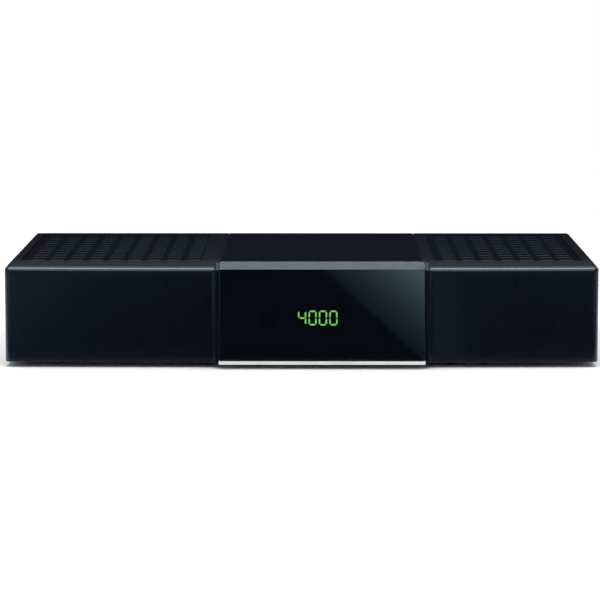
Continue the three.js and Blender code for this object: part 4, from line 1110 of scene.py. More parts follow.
flatValues = {
    "video": {"wall": 0.5, "taper": 1.4, "mouth": 8.0, "tongue": 0.8, "tongueInset": 1.6,
              "corner": 0.45, "contacts": 10, "contactWidth": 0.42},
    "data": {"wall": 0.5, "taper": 0.0, "mouth": 11.0, "tongue": 1.8, "tongueInset": 0.8,
             "corner": 0.5, "contacts": 4, "contactWidth": 1.1},
    "proud": 0.8,
    "rim": 0.13,
    "contactThickness": 0.08,
    "leaf": ((0, -0.1), (-1.4, 0.42), (-2.2, 0.42), (-5, -0.1)),    # a spring leaf's side view
    "leafPlace": (3, -2.2),
    "leafWidth": 1.8,
}


def socketShape(low, high, inset, taper, corner, start, end):
    left, right, bottom, top = low.x + inset, high.x - inset, low.z + inset, high.z - inset
    if taper:
        spots = [(left + taper, bottom), (right - taper, bottom), (right, bottom + taper),
                 (right, top), (left, top), (left, bottom + taper)]
    else:
        spots = [(left, bottom), (right, bottom), (right, top), (left, top)]
    bm = bmesh.new()
    sideways(bm, "y", spots, start, end)
    bevelEdges(bm, edgesAlong(bm, "y"), corner, 3)
    return bm


def makeFlatSocket(name, values, common):
    low, high = nodeBox(name + "_socket")
    face, wall = high.y, values["wall"]
    taper, corner = values["taper"], values["corner"]
    shell = carve(socketShape(low, high, 0, taper, corner, low.y, face),
                  socketShape(low, high, wall, taper, corner * 0.7, face - values["mouth"], face + 2))
    bevelEdges(shell, rimEdges(shell, "y", face - hair), common["rim"], 2)
    if name == "video":
        left, right = low.x + values["tongueInset"], high.x - values["tongueInset"]
        bottom = (low.z + high.z) / 2
    else:
        left = low.x + wall + values["tongueInset"]
        right = high.x - wall - values["tongueInset"]
        bottom = high.z - wall - values["tongueInset"] - values["tongue"]
    start, end, top = face - values["mouth"] - wall, face - common["proud"], bottom + values["tongue"]
    tongue = boxShape((left, start, bottom), (right, end, top))
    bevelEdges(tongue, rimEdges(tongue, "y", end - hair), 0.25, 3)
    strips = bmesh.new()
    pitch = (right - left) / (values["contacts"] + 0.6)
    half, thick = values["contactWidth"] / 2, common["contactThickness"]
    for i in range(values["contacts"]):
        x = (left + right) / 2 + (i - (values["contacts"] - 1) / 2) * pitch
        made = boxBetween(strips, (x - half, start + 0.5, bottom - thick),
                          (x + half, end - 0.7, bottom + thick))
        edges = [edge for edge in strips.edges if all(vert in made for vert in edge.verts)]
        bevelEdges(strips, edges, 0.03, 1)
        if name == "video" and i:
            x -= pitch / 2
            boxBetween(strips, (x - half, start + 0.5, top - thick), (x + half, end - 0.7, top + thick))
    if name == "data":    # two spring leaves on the shell's floor
        aside, back = common["leafPlace"]
        for side in (-1, 1):
            x = (left + right) / 2 + side * aside - common["leafWidth"] / 2
            sideways(shell, "x", [(face + back + y, low.z + wall + z) for y, z in common["leaf"]],
                     x, x + common["leafWidth"])
    settle(name + "_socket_shell", shell, "tinned_metal", [name + "_socket"])
    settle(name + "_socket_tongue", tongue, "socket_plastic")
    settle(name + "_socket_contacts", strips, "gilt_contacts")


makeFlatSocket("video", flatValues["video"], flatValues)
makeFlatSocket("data", flatValues["data"], flatValues)


# Low-voltage inlet and coaxial audio socket

inletValues = {
    "axisRise": 6.2,
    "bore": 3.1,
    "depth": 9.0,
    "countersink": 0.5,
    "pin": 1.0,
    "proud": 0.8,
    "sleeve": 0.25,
    "edge": 0.5,
}

audioValues = {
    "blockWidth": 10.5,
    "blockHeight": 13,
    "core": 3.1,
    "bore": 1.6,
    "barrel": 4.15,
    "flange": 5.6,
    "edge": 0.4,
}


def makeInlet(values):
    low, high = nodeBox("power_inlet")
    face, x, z = high.y, (low.x + high.x) / 2, low.z + values["axisRise"]
    bottom, bore, cut = face - values["depth"], values["bore"], values["countersink"]
    body = softBox(low, high, values["edge"], 3)
    body = carve(body, turned(
        [(0, 0), (bore, 0), (bore, values["depth"] - cut), (bore + cut, values["depth"]),
         (bore + cut, values["depth"] + 2), (0, values["depth"] + 2)], (x, bottom, z), "y", 40))
    pin, length = values["pin"], values["depth"] + 0.5
    tip = [(pin * cos(pi / 2 * i / 5), length - values["proud"] - pin + pin * sin(pi / 2 * i / 5))
           for i in range(6)]
    metal = turned([(0, 0), (pin, 0)] + tip, (x, bottom - 0.5, z), "y", 24)
    sleeve = values["sleeve"]
    addTo(metal, turned(
        [(bore - sleeve, 1), (bore - 0.02, 1), (bore - 0.02, 7), (bore - sleeve, 7.3),
         (bore - sleeve - 0.1, 7), (bore - sleeve, 1)], (x, bottom, z), "y", 32))
    settle("power_inlet_body", body, "socket_plastic", ["power_inlet"])
    settle("power_inlet_pin", metal, "plated_metal")


def makeAudioSocket(values):
    low, high = nodeBox("audio_socket_body")
    barrelLow, barrelHigh = nodeBox("audio_socket_shell")
    x, _, z = nodeMiddle("audio_socket_shell")
    blockFace, half = panelFace - 0.3, values["blockWidth"] / 2
    block = softBox((x - half, low.y, low.z), (x + half, blockFace, low.z + values["blockHeight"]),
                    values["edge"], 3)
    flange, core, bore, end = values["flange"], values["core"], values["bore"], high.y
    block = carve(block, turned(
        [(0, blockFace - 1), (flange, blockFace - 1), (flange, barrelLow.y - 0.35),
         (flange - 0.35, barrelLow.y), (core, barrelLow.y), (core, end - 0.3), (core - 0.3, end), (0, end)],
        (x, 0, z), "y", 48), "UNION")
    block = carve(block, turned(
        [(0, blockFace - 5), (bore, blockFace - 5), (bore, end - 0.25), (bore + 0.35, end + 0.1),
         (bore + 0.35, end + 2), (0, end + 2)], (x, 0, z), "y", 28))
    outer, inner = values["barrel"], core + 0.12
    start, stop = barrelLow.y, barrelHigh.y
    barrel = turned(
        [(inner, start), (outer, start), (outer, stop - 0.35), (outer - 0.1, stop - 0.12),
         (outer - 0.35, stop), (inner + 0.2, stop), (inner, stop - 0.2), (inner, start)], (x, 0, z), "y", 48)
    contact = turned(
        [(bore - 0.3, blockFace - 4.8), (bore - 0.02, blockFace - 4.8), (bore - 0.02, end - 1.2),
         (bore - 0.3, end - 1.5), (bore - 0.3, blockFace - 4.8)], (x, 0, z), "y", 24)
    settle("audio_socket_moulding", block, "orange_plastic", ["audio_socket_body"])
    settle("audio_socket_barrel", barrel, "tinned_metal", ["audio_socket_shell"])
    settle("audio_socket_contact", contact, "gilt_contacts")


makeInlet(inletValues)
makeAudioSocket(audioValues)


# Threaded aerial connector with its washer and nut

aerialValues = {
    "radius": 4.7,
    "mouth": 3.6,
    "mouthDepth": 1.4,
    "bore": 1.1,
    "pitch": 0.8,
    "threadDepth": 0.38,
    "chamfer": 0.4,
    "nutChamfer": 0.45,
}


def makeAerial(values):
    low, high = nodeBox("aerial_connector")
    nutLow, nutHigh = nodeBox("aerial_nut")
    ringLow, ringHigh = nodeBox("aerial_washer")
    x, y, z = nodeMiddle("aerial_washer")
    radius, mouth, end = values["radius"], values["mouth"], high.y
    core, pitch = radius - values["threadDepth"], values["pitch"]
    profile = [(0, low.y), (radius - 0.3, low.y), (radius, low.y + 0.3), (radius, nutHigh.y + 0.1)]
    y = nutHigh.y + 0.1
    while y + pitch < end - values["chamfer"]:
        profile += [(core, y + 0.4 * pitch), (core, y + 0.5 * pitch), (radius, y + 0.9 * pitch),
                    (radius, y + pitch)]
        y += pitch
    profile += [(radius, end - values["chamfer"]), (radius - values["chamfer"], end), (mouth + 0.15, end),
                (mouth, end - 0.15), (mouth, end - 4), (0, end - 4)]
    settle("aerial_thread", turned(profile, (x, 0, z), "y", 48), "plated_metal",
           ["aerial_connector"], smooth=24)
    level, bore = end - values["mouthDepth"], values["bore"]
    settle("aerial_insulator", turned(
        [(0, end - 3.9), (mouth - 0.02, end - 3.9), (mouth - 0.02, level - 0.2), (mouth - 0.3, level),
         (bore + 0.7, level), (bore + 0.3, level - 0.3), (bore, level - 1.2), (bore, end - 3.4),
         (0, end - 3.4)], (x, 0, z), "y", 32), "header_plastic")

    cut = values["nutChamfer"]
    across = max(nutHigh.x - nutLow.x, nutHigh.z - nutLow.z) / 2
    nut = rodShape("y", (x, 0, z), across, nutLow.y, nutHigh.y, 6)
    wide = max(vert.co.x for vert in nut.verts) - min(vert.co.x for vert in nut.verts)
    if abs(wide - (nutHigh.x - nutLow.x)) > 0.2:
        bmesh.ops.rotate(nut, cent=(x, 0, z), matrix=Matrix.Rotation(pi / 6, 3, "Y"), verts=nut.verts)
    nut = carve(nut, turned(
        [(0, nutLow.y - 0.01), (across - cut, nutLow.y - 0.01), (across + 0.1, nutLow.y + cut * 0.7),
         (across + 0.1, nutHigh.y - cut * 0.7), (across - cut, nutHigh.y + 0.01), (0, nutHigh.y + 0.01)],
        (x, 0, z), "y", 48), "INTERSECT")
    nut = carve(nut, turned(
        [(0, nutLow.y - 1), (radius + 0.1, nutLow.y - 1), (radius + 0.1, nutHigh.y - 0.25),
         (radius + 0.45, nutHigh.y + 0.1), (radius + 0.45, nutHigh.y + 1), (0, nutHigh.y + 1)],
        (x, 0, z), "y", 40))
    settle("aerial_hex_nut", nut, "plated_metal", ["aerial_nut"], smooth=24)
    outer = (ringHigh.x - ringLow.x) / 2
    settle("aerial_flat_washer", turned(
        [(radius + 0.2, ringLow.y), (outer, ringLow.y), (outer, ringHigh.y - 0.2), (outer - 0.2, ringHigh.y),
         (radius + 0.35, ringHigh.y), (radius + 0.2, ringHigh.y - 0.15), (radius + 0.2, ringLow.y)],
        (x, 0, z), "y", 48), "tinned_metal", ["aerial_washer"])


makeAerial(aerialValues)
print("sockets made")


# Power switch: housing with its terminals, and the rocker on its two pins

switchValues = {
    "flange": 1.6,
    "flangeCorner": 1.4,
    "flangeEdge": 0.45,
    "bodyWidth": 13.0,
    "bodyHeight": 19.0,
    "bodyDepth": 13.0,
    "wall": 1.1,
    "cavityDepth": 9.0,
    "cavityEdge": 0.3,
    "pinRadius": 1.2,
    "pinGap": 0.15,
    "pinReach": 0.8,
    "terminalWidth": 4.8,
    "terminalThickness": 0.8,
    "terminalLength": 7.0,
    "terminalPitch": 9.0,
}

rockerValues = {
    "pivot": (84, 56.9, 20),
    "tilt": 8,
    "half": 7.7,
    "width": 9.4,
    "endRise": 4.1,
    "middleRise": 2.3,
    "skirt": 1.2,
    "tailDepth": 3.4,
    "tailWidth": 6.0,
    "edge": 0.4,
    "markPlaceShare": 0.58,
    "markRelief": 0.06,
    "barHeight": 2.6,
    "barWidth": 0.42,
    "ringRadius": 1.35,
}


def makeSwitch(values):
    low, high = nodeBox("switch_housing")
    face, panelRear = high.y, high.y - values["flange"]
    x, _, z = nodeMiddle("switch_housing")
    flange = boxShape((low.x, panelRear, low.z), (high.x, face, high.z))
    bevelEdges(flange, edgesAlong(flange, "y"), values["flangeCorner"], 6)
    bevelEdges(flange, rimEdges(flange, "y", face - hair), values["flangeEdge"], 4)
    wide, tall = values["bodyWidth"] / 2, values["bodyHeight"] / 2
    front = panelRear - values["bodyDepth"]
    body = boxShape((x - wide, front, z - tall), (x + wide, panelRear + 0.3, z + tall))
    bevelEdges(body, edgesAlong(body, "y"), 0.5, 3)
    body = carve(flange, body, "UNION")
    wide, tall = wide - values["wall"], tall - values["wall"]
    body = carve(body, boxShape((x - wide, face - values["cavityDepth"], z - tall),
                                (x + wide, face + 2, z + tall)))
    reach = wide + values["pinReach"] + values["pinGap"]
    body = carve(body, rodShape("x", rockerValues["pivot"], values["pinRadius"] + values["pinGap"],
                                x - reach, x + reach, 32))
    rim = [edge for edge in rimEdges(body, "y", face - hair) if all(
        abs(vert.co.x - x) < wide + 0.05 and abs(vert.co.z - z) < tall + 0.05 for vert in edge.verts)]
    bevelEdges(body, rim, values["cavityEdge"], 3)
    blades = bmesh.new()
    half, thick = values["terminalWidth"] / 2, values["terminalThickness"] / 2
    tip = front - values["terminalLength"]
    for side in (-1, 1):
        level = z + side * values["terminalPitch"] / 2
        blade = boxShape((x - half, tip, level - thick), (x + half, front + values["wall"], level + thick))
        upright = [edge for edge in edgesAlong(blade, "z", 0.5) if edge.verts[0].co.y < front - 1]
        bevelEdges(blade, upright, 1.0, 4)
        addTo(blades, carve(blade, rodShape("z", (x, tip + 2.2, 0), 0.9, level - 2, level + 2, 20)))
    settle("switch_housing_moulding", body, "socket_plastic", ["switch_housing"])
    settle("switch_terminals", blades, "tinned_metal")


def rockerRise(values, z):
    return values["middleRise"] + (values["endRise"] - values["middleRise"]) * (z / values["half"]) ** 2


def makeRocker(values, housing):
    half, wide = values["half"], values["width"] / 2
    face = [(rockerRise(values, half * i / 8), half * i / 8) for i in range(-8, 9)]
    under = [(-values["skirt"], half - 0.7), (-values["tailDepth"], values["tailWidth"] / 2),
             (-values["tailDepth"], -values["tailWidth"] / 2), (-values["skirt"], 0.7 - half)]
    bm = bmesh.new()
    sideways(bm, "x", face + under, -wide, wide)
    bevelEdges(bm, rimEdges(bm, "y", values["middleRise"] - 0.1, 40), values["edge"], 4)
    reach = housing["bodyWidth"] / 2 - housing["wall"] + housing["pinReach"]
    pins = rodShape("x", (0, 0, 0), housing["pinRadius"], -reach, reach, 28)
    bevelEdges(pins, sharpEdges(pins), 0.2, 2)
    bm = carve(bm, pins, "UNION")

    radius, thick, relief = values["ringRadius"], values["barWidth"], values["markRelief"]
    bar = boxShape((-thick / 2, -0.2, -values["barHeight"] / 2), (thick / 2, relief, values["barHeight"] / 2))
    ring = turned([(radius - thick, -0.2), (radius, -0.2), (radius, relief), (radius - thick, relief),
                   (radius - thick, -0.2)], (0, 0, 0), "y", 36)
    marks = bmesh.new()
    for mark, side in ((bar, 1), (ring, -1)):
        z = side * half * values["markPlaceShare"]
        lean = (values["endRise"] - values["middleRise"]) * 2 * z / half ** 2
        bmesh.ops.rotate(mark, matrix=Matrix.Rotation(-lean, 3, "X"), verts=mark.verts)
        bmesh.ops.translate(mark, vec=(0, rockerRise(values, z), z), verts=mark.verts)
        addTo(marks, mark)
    for shape, name, finish, replaced in ((bm, "power_rocker_key", "rocker_plastic", ["power_rocker"]),
                                          (marks, "power_rocker_marks", "mark_paint", [])):
        bmesh.ops.rotate(shape, matrix=Matrix.Rotation(radians(values["tilt"]), 3, "X"), verts=shape.verts)
        bmesh.ops.translate(shape, vec=values["pivot"], verts=shape.verts)
        settle(name, shape, finish, replaced, body="rocker")


makeSwitch(switchValues)
makeRocker(rockerValues, switchValues)
print("power switch made")


# Tuner can

tunerValues = {
    "rib": 0.6,
    "edge": 0.35,
    "lidShare": 0.25,
    "lidRibs": 3,
    "ribWidth": 1.6,
    "dimple": 0.66,
    "dimplePitch": 6.0,
    "dimpleShift": 0.55,
    "dimpleDrop": 2.2,
    "endMargin": 4,
    "holeRadius": 1.5,
    "holeShares": ((0.2, 0.5, 0.8), (0.375, 0.625)),    # along the can and across it
}


def makeTuner(values):
    low, high = nodeBox("tuner_can")
    rib, tall = values["rib"], high.z - low.z
    bm = softBox((low.x + rib, low.y + rib, low.z), (high.x - rib, high.y, high.z - 0.25), values["edge"], 3)
    lid = softBox((low.x, low.y, high.z - tall * values["lidShare"]), (high.x, high.y - 0.1, high.z - rib),
                  0.25, 2)
    bm = carve(bm, lid, "UNION")
    ribs = bmesh.new()
    for i in range(values["lidRibs"]):
        x = low.x + (high.x - low.x) * (i + 1) / (values["lidRibs"] + 1)
        boxBetween(ribs, (x - values["ribWidth"] / 2, low.y + 5, high.z - 0.6),
                   (x + values["ribWidth"] / 2, high.y - 5, high.z))
    bevelEdges(ribs, ribs.edges[:], 0.22, 2)
    bm = carve(bm, ribs, "UNION")
    holes = bmesh.new()
    shares, sideShares = values["holeShares"]
    for y in (low.y + (high.y - low.y) * share for share in shares):
        for x in (low.x + (high.x - low.x) * share for share in sideShares):
            rodBetween(holes, "z", (x, y, 0), values["holeRadius"], high.z - 2, high.z + 1, 20)
    y, shift, margin = low.y + values["endMargin"], values["dimpleShift"], values["endMargin"]
    while y < high.y - margin:    # pressed dimples hold the lid on both sides
        for x in (low.x - shift, high.x + shift):
            rodBetween(holes, "x", (0, y, high.z - values["dimpleDrop"]), values["dimple"], x - 1, x + 1, 12)
        y += values["dimplePitch"]
    bm = carve(bm, holes)
    settle("tuner_can_pressed", bm, "tinned_metal", ["tuner_can"])


makeTuner(tunerValues)


# Chips, heat sink and the small parts of the main board

chipValues = {
    "edge": 0.22,
    "legReach": 0.8,
    "legWidth": 0.26,
    "legPitch": 0.65,
    "legThickness": 0.12,
    "dotInset": 1.5,
    "dotRadius": 0.55,
    "dotDepth": 0.1,
}

chipLegs = {"memory_chip_a": "x", "memory_chip_b": "x", "flash_chip": "y", "processor": ""}

sinkValues = {"base": 2.0, "fin": 1.2, "pitch": 4.0, "edge": 0.18}

smallValues = {
    "size": (2.0, 1.25, 0.55),
    "end": 0.42,
    "blocks": ((-54, -19, 5, 3.4, 9, 3.1), (26, -23, 4, 3.4, 4, 3.1), (-33, 8, 5, 3.4, 7, 3.3),
               (43.4, 12, 2, 3.3, 3, 3.1)),
    "skipped": 5,
}


def makeChip(name, way, values):    # way: the axis its legs point along, if it has any
    low, high = nodeBox(name)
    reach = Vector()
    if way:
        reach["xy".index(way)] = values["legReach"]
    lift, inset = Vector((0, 0, 0.1 if way else 0)), values["dotInset"]
    bm = softBox(low + reach + lift, high - reach, values["edge"], 2)
    dot = rodShape("z", (low.x + reach.x + inset, high.y - reach.y - inset, 0), values["dotRadius"],
                   high.z - values["dotDepth"], high.z + 1, 20)
    settle(name + "_package", carve(bm, dot), "chip_plastic", [name])
    if not way:
        return
    legs = bmesh.new()
    level, thick, wide = (low.z + high.z) / 2, values["legThickness"], values["legWidth"]
    out, run = "xy".index(way), "yx".index(way)    # the legs point out in two rows, which run along the sides
    count = int((high[run] - low[run] - 1.2) // values["legPitch"]) + 1
    tip = values["legReach"] + 0.2
    outline = [(0, level), (0.45, level), (0.62, low.z + thick), (tip, low.z + thick), (tip, low.z),
               (0.5, low.z), (0.33, level - thick), (0, level - thick)]
    for side, edge in ((-1, low[out] + tip), (1, high[out] - tip)):
        for i in range(count):
            along = (low[run] + high[run]) / 2 + (i - (count - 1) / 2) * values["legPitch"] - wide / 2
            sideways(legs, "xy"[run], [(edge + side * a, b) for a, b in outline], along, along + wide)
    settle(name + "_legs", legs, "tinned_metal")


def makeSink(values):
    low, high = nodeBox("heat_sink")
    count = int((high.x - low.x - values["fin"]) // values["pitch"]) + 1
    first = (low.x + high.x) / 2 - (count - 1) * values["pitch"] / 2
    base = low.z + values["base"]
    spots = [(low.x, low.z), (high.x, low.z)]
    for i in reversed(range(count)):
        place = first + i * values["pitch"]
        left, right = place - values["fin"] / 2, place + values["fin"] / 2
        if i == count - 1:
            right = high.x
        if i == 0:
            left = low.x
        if i < count - 1:
            spots.append((right, base))
        spots += [(right, high.z), (left, high.z)]
        if i:
            spots.append((left, base))
    bm = bmesh.new()
    sideways(bm, "y", spots, low.y, high.y)
    bevelEdges(bm, sharpEdges(bm), values["edge"], 2)
    settle("heat_sink_finned", bm, "sink_aluminium", ["heat_sink"])


def makeSmallParts(values):
    top = nodeBox("main_board")[1].z
    bodies, ends = bmesh.new(), bmesh.new()
    long, deep, tall = values["size"]
    for x0, y0, columns, pitchX, rows, pitchY in values["blocks"]:
        for i in range(columns * rows):
            if i % values["skipped"] == 3:
                continue
            x, y = x0 + i % columns * pitchX, y0 + i // columns * pitchY
            boxBetween(bodies, (x - long / 2 + 0.3, y - deep / 2, top),
                       (x + long / 2 - 0.3, y + deep / 2, top + tall))
            for side in (-1, 1):
                reach = sorted((x + side * long / 2, x + side * (long / 2 - values["end"])))
                boxBetween(ends, (reach[0], y - deep / 2 - 0.02, top),
                           (reach[1], y + deep / 2 + 0.02, top + tall + 0.02))
    bevelEdges(bodies, bodies.edges[:], 0.06, 1)
    bevelEdges(ends, ends.edges[:], 0.06, 1)
    settle("board_small_bodies", bodies, "resistor_body")
    settle("board_small_ends", ends, "tinned_metal")


for name, way in chipLegs.items():
    makeChip(name, way, chipValues)
makeSink(sinkValues)
makeSmallParts(smallValues)


# Capacitors, inductors, crystal, headers and the ribbon between the boards

capacitorValues = {"roll": 0.6, "ventShare": 0.75, "ventHalf": 0.16, "ventDepth": 0.12, "stripeAngle": 22}
inductorValues = {"corner": 0.9, "well": 0.9, "edge": 0.25}
crystalValues = {"flange": 0.35, "flangeHeight": 0.5, "edge": 0.5}
headerValues = {"wall": 0.9, "depth": 3.2, "pins": 6, "pinWidth": 0.6, "pinRise": 0.9, "edge": 0.25}
ribbonValues = {"wires": 10, "width": 14.0, "thickness": 0.5, "web": 0.45, "steps": 22, "pullShare": 0.55}


def makeCapacitor(name, values):
    low, high = nodeBox(name)
    middle, radius, roll = (low + high) / 2, (high.x - low.x) / 2, values["roll"]
    tall, neck, waist = high.z - low.z, 3 * roll, radius - roll
    profile = [(0, 0), (waist, 0), (radius - 0.1, 0.2), (radius, roll), (radius, neck),
               (radius - 0.35, neck + 0.25), (waist, neck + roll), (radius - 0.35, neck + 2 * roll - 0.25),
               (radius, neck + 2 * roll), (radius, tall - roll), (radius - 0.18, tall - 0.18),
               (waist, tall - 0.02), (waist - 0.3, tall - 0.02), (waist - 0.3, tall - 0.2), (0, tall - 0.2)]
    bm = turned(profile, (middle.x, middle.y, low.z), "z", 36)
    for face in bm.faces:    # the printed stripe on one side
        spot = face.calc_center_median() - middle
        angle = abs(degrees(Vector((-1, 0)).angle(Vector((spot.x, spot.y)), 0)))
        if angle < values["stripeAngle"] and (spot.x ** 2 + spot.y ** 2) ** 0.5 > radius - 0.3:
            face.material_index = 1
    settle(name + "_sleeve", bm, ["capacitor_sleeve", "sleeve_stripe"], [name])
    reach = waist - 0.32
    top = turned([(0, tall - 0.4), (reach, tall - 0.4), (reach, tall - 0.1), (reach - 0.2, tall), (0, tall)],
                 (middle.x, middle.y, low.z), "z", 32)
    vent = bmesh.new()
    cross = crossOutline(middle, reach * values["ventShare"], values["ventHalf"], high.z - values["ventDepth"])
    prism(vent, cross, (0, 0, 1))
    settle(name + "_top", carve(top, vent), "sink_aluminium")


def makeInductor(name, values):
    low, high = nodeBox(name)
    middle, half = (low + high) / 2, (high.x - low.x) / 2
    bm = boxShape(low, high)
    bevelEdges(bm, edgesAlong(bm, "z"), values["corner"], 4)
    bevelEdges(bm, rimEdges(bm, "z", high.z - hair), values["edge"], 2)
    well = values["well"]
    ring = turned([(half - 2 * well, high.z - well), (half - well, high.z - well), (half - well, high.z + 1),
                   (half - 2 * well, high.z + 1), (half - 2 * well, high.z - well)],
                  (middle.x, middle.y, 0), "z", 40)
    settle(name + "_core", carve(bm, ring), "ferrite", [name])


def makeCrystal(values):
    low, high = nodeBox("crystal_can")
    inset = values["flange"]
    bm = bmesh.new()
    for start, end, shrink in ((low.z, low.z + values["flangeHeight"], 0), (low.z + 0.1, high.z, inset)):
        part = boxShape((low.x + shrink, low.y + shrink, start), (high.x - shrink, high.y - shrink, end))
        bevelEdges(part, edgesAlong(part, "z", 0.2), (high.y - low.y) / 2 - shrink - 0.15, 8)
        bevelEdges(part, rimEdges(part, "z", end - hair), values["edge"] if shrink else 0.12, 3)
        if shrink:
            bm = carve(bm, part, "UNION")
        else:
            addTo(bm, part)
    settle("crystal_can_drawn", bm, "plated_metal", ["crystal_can"])


def makeHeader(name, outward, values):    # outward: the way its mouth faces
    low, high = nodeBox(name)
    wall = values["wall"]
    if outward == "y":
        mouth, ends = (high.y - values["depth"], high.y + 1), (low.y + 0.5, high.y - 0.6)
    else:
        mouth, ends = (low.y - 1, low.y + values["depth"]), (low.y + 0.6, high.y - 0.5)
    bm = carve(softBox(low, high, values["edge"], 2),
               boxShape((low.x + wall, mouth[0], low.z + wall), (high.x - wall, mouth[1], high.z - wall)))
    settle(name + "_box", bm, "header_plastic", [name])
    pins = bmesh.new()
    z, half = (low.z + high.z) / 2 + values["pinRise"], values["pinWidth"] / 2
    for i in range(values["pins"]):
        x = low.x + (high.x - low.x) * (i + 1) / (values["pins"] + 1)
        boxBetween(pins, (x - half, ends[0], z - half), (x + half, ends[1], z + half))
    bevelEdges(pins, pins.edges[:], 0.12, 1)
    settle(name + "_pins", pins, "gilt_contacts")


def makeRibbon(values):
    start = Vector((0, nodeBox("display_header")[1].y + 0.3, nodeMiddle("display_header").z))
    end = Vector((0, nodeBox("board_header")[0].y - 0.3, nodeMiddle("board_header").z))
    pull = Vector((0, (end.y - start.y) * values["pullShare"], 0))
    points = (start, start + pull, end - pull, end)

    def along(t):
        return sum((points[i] * (1, 3, 3, 1)[i] * (1 - t) ** (3 - i) * t ** i for i in range(4)), Vector())

    bm = bmesh.new()
    wires, thick, web = values["wires"], values["thickness"] / 2, values["web"]
    pitch = values["width"] / wires
    centre = nodeMiddle("ribbon_cable").x
    upper = []
    for i in range(wires * 4 + 1):
        x = centre - values["width"] / 2 + pitch * i / 4
        upper.append((x, thick * (web + (1 - web) * abs(sin(pi * i / 4)))))
    outline = upper + [(x, -z) for x, z in reversed(upper)]
    loop = [bm.verts.new((x, start.y, start.z + z)) for x, z in outline]
    first = bm.faces.new(loop)
    edges, spot, lean = list(first.edges), start, 0.0
    for step in range(1, values["steps"] + 1):
        t = step / values["steps"]
        goal = along(t)
        ahead = along(min(1, t + 0.01)) - along(max(0, t - 0.01))
        turn = Vector((0, 1)).angle_signed(Vector((ahead.z, ahead.y)), 0)
        grown = bmesh.ops.extrude_edge_only(bm, edges=edges)["geom"]
        verts = [item for item in grown if isinstance(item, bmesh.types.BMVert)]
        edges = [item for item in grown if isinstance(item, bmesh.types.BMEdge)
                 and all(vert in verts for vert in item.verts)]
        bmesh.ops.translate(bm, vec=goal - spot, verts=verts)
        bmesh.ops.rotate(bm, cent=goal, matrix=Matrix.Rotation(turn - lean, 3, "X"), verts=verts)
        spot, lean = goal, turn
    bmesh.ops.holes_fill(bm, edges=edges, sides=0)
    settle("ribbon_cable_flat", bm, "ribbon_plastic", ["ribbon_cable"], smooth=50)


for letter in "abcde":
    makeCapacitor("capacitor_" + letter, capacitorValues)
for letter in "ab":
    makeInductor("inductor_" + letter, inductorValues)
makeCrystal(crystalValues)
makeHeader("display_header", "y", headerValues)
makeHeader("board_header", "-y", headerValues)
makeRibbon(ribbonValues)
print("board parts made")


# Any CAD node still showing gets a finish too

for name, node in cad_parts.items():
    if not node.hide_render:
        node.data.materials.clear()
        node.data.materials.append(finishes["display_plastic"])
        print("CAD node kept:", name)


# Stage: floor, cards that only reflections see, one lamp and the white world

stageValues = {
    "floorColour": (0.8, 0.8, 0.8),
    "floorSeen": (0.98, 0.98, 0.98),
    "floorRoughness": (0.85, 0.95),
    "floorGrain": 400,
    "floorReach": ((-9000, 9000), (-3000, 15000)),
    "fadeStart": 0.22,
    "fadeEnd": 0.6,
    "worldStrength": 0.8,
    "lampSize": (1.2, 0.8),
    "lampPlace": (0, -0.15, 1.2),
    "lampPower": 10.0,
}

cardPlaces = {    # the axis it is square to, its level there, and its reach along the other two
    "front_card": ("z", 1, (-1000, 1000), (-1150, -82)),
    "sill_card": ("z", 1, (-900, 900), (-82, -67)),
    "camera_card": ("y", -1200, (-1000, 1000), (0, 1190)),
    "rear_card": ("y", 300, (-1500, 1500), (0, 1100)),
    "left_card": ("x", -1000, (-1200, 600), (0, 900)),
    "right_card": ("x", 1000, (-1200, 600), (0, 900)),
    "sky_card": ("z", 1190, (-900, 900), (-1150, 300)),
}

cardStops = {    # the axis its colour changes along, then (level, colour)
    "camera_card": ("Z", (110, (0.004, 0.005, 0.007)), (330, (0.06, 0.08, 0.11)), (1190, (2.8, 2.7, 2.5))),
    "rear_card": ("Z", (110, (0.010, 0.013, 0.018)), (420, (0.62, 0.74, 0.78))),
    "left_card": ("Y", (-500, (0.17, 0.19, 0.20)), (-200, (0.12, 0.14, 0.165))),
    "right_card": ("Y", (-500, (0.17, 0.19, 0.20)), (-200, (0.12, 0.14, 0.165))),
    "sky_card": ("Y", (-690, (0.9, 0.9, 0.9)), (-480, (7.7, 7.1, 6.0)), (-140, (7.7, 7.1, 6.0)),
                 (0, (0.9, 0.9, 0.9))),
}

sillColour = (0.03, 0.04, 0.055)

wedgeValues = {    # places in metres
    "slope": -0.1222,
    "shift": -0.05574,
    "width": 0.045,
    "rightEnd": (0.057, 0.062),
    "nearEnd": (-0.43, -0.4),
    "dark": (0.001, 0.001, 0.001),
    "tint": (0.75, 0.94, 1.0),
    "shades": ((0.008, 0.05), (0.33, 0.175), (0.67, 0.44), (1.0, 0.82)),    # (share of the width, of the tint)
    "strength": 1.17,
    "sideColour": (0.28, 0.35, 0.44),
    "sideReaches": ((-0.22, -0.09), (0.15, 0.3)),
}


def stageMesh(name, axis, level, first, second, finish):    # a rectangle square to an axis
    corners = []
    for spot in ([first[0], second[0]], [first[1], second[0]], [first[1], second[1]], [first[0], second[1]]):
        spot.insert("xyz".index(axis), level)
        corners.append(spot)
    bm = bmesh.new()
    bm.faces.new([bm.verts.new(Vector(corner) * mm) for corner in corners])
    mesh = bpy.data.meshes.new(name)
    bm.to_mesh(mesh)
    bm.free()
    mesh.materials.append(finishes[finish])
    thing = bpy.data.objects.new(name, mesh)
    scene.collection.objects.link(thing)
    return thing


def onlyReflected(thing):
    thing.visible_camera = False
    thing.visible_diffuse = False
    thing.visible_transmission = False
    thing.visible_volume_scatter = False
    thing.visible_shadow = False


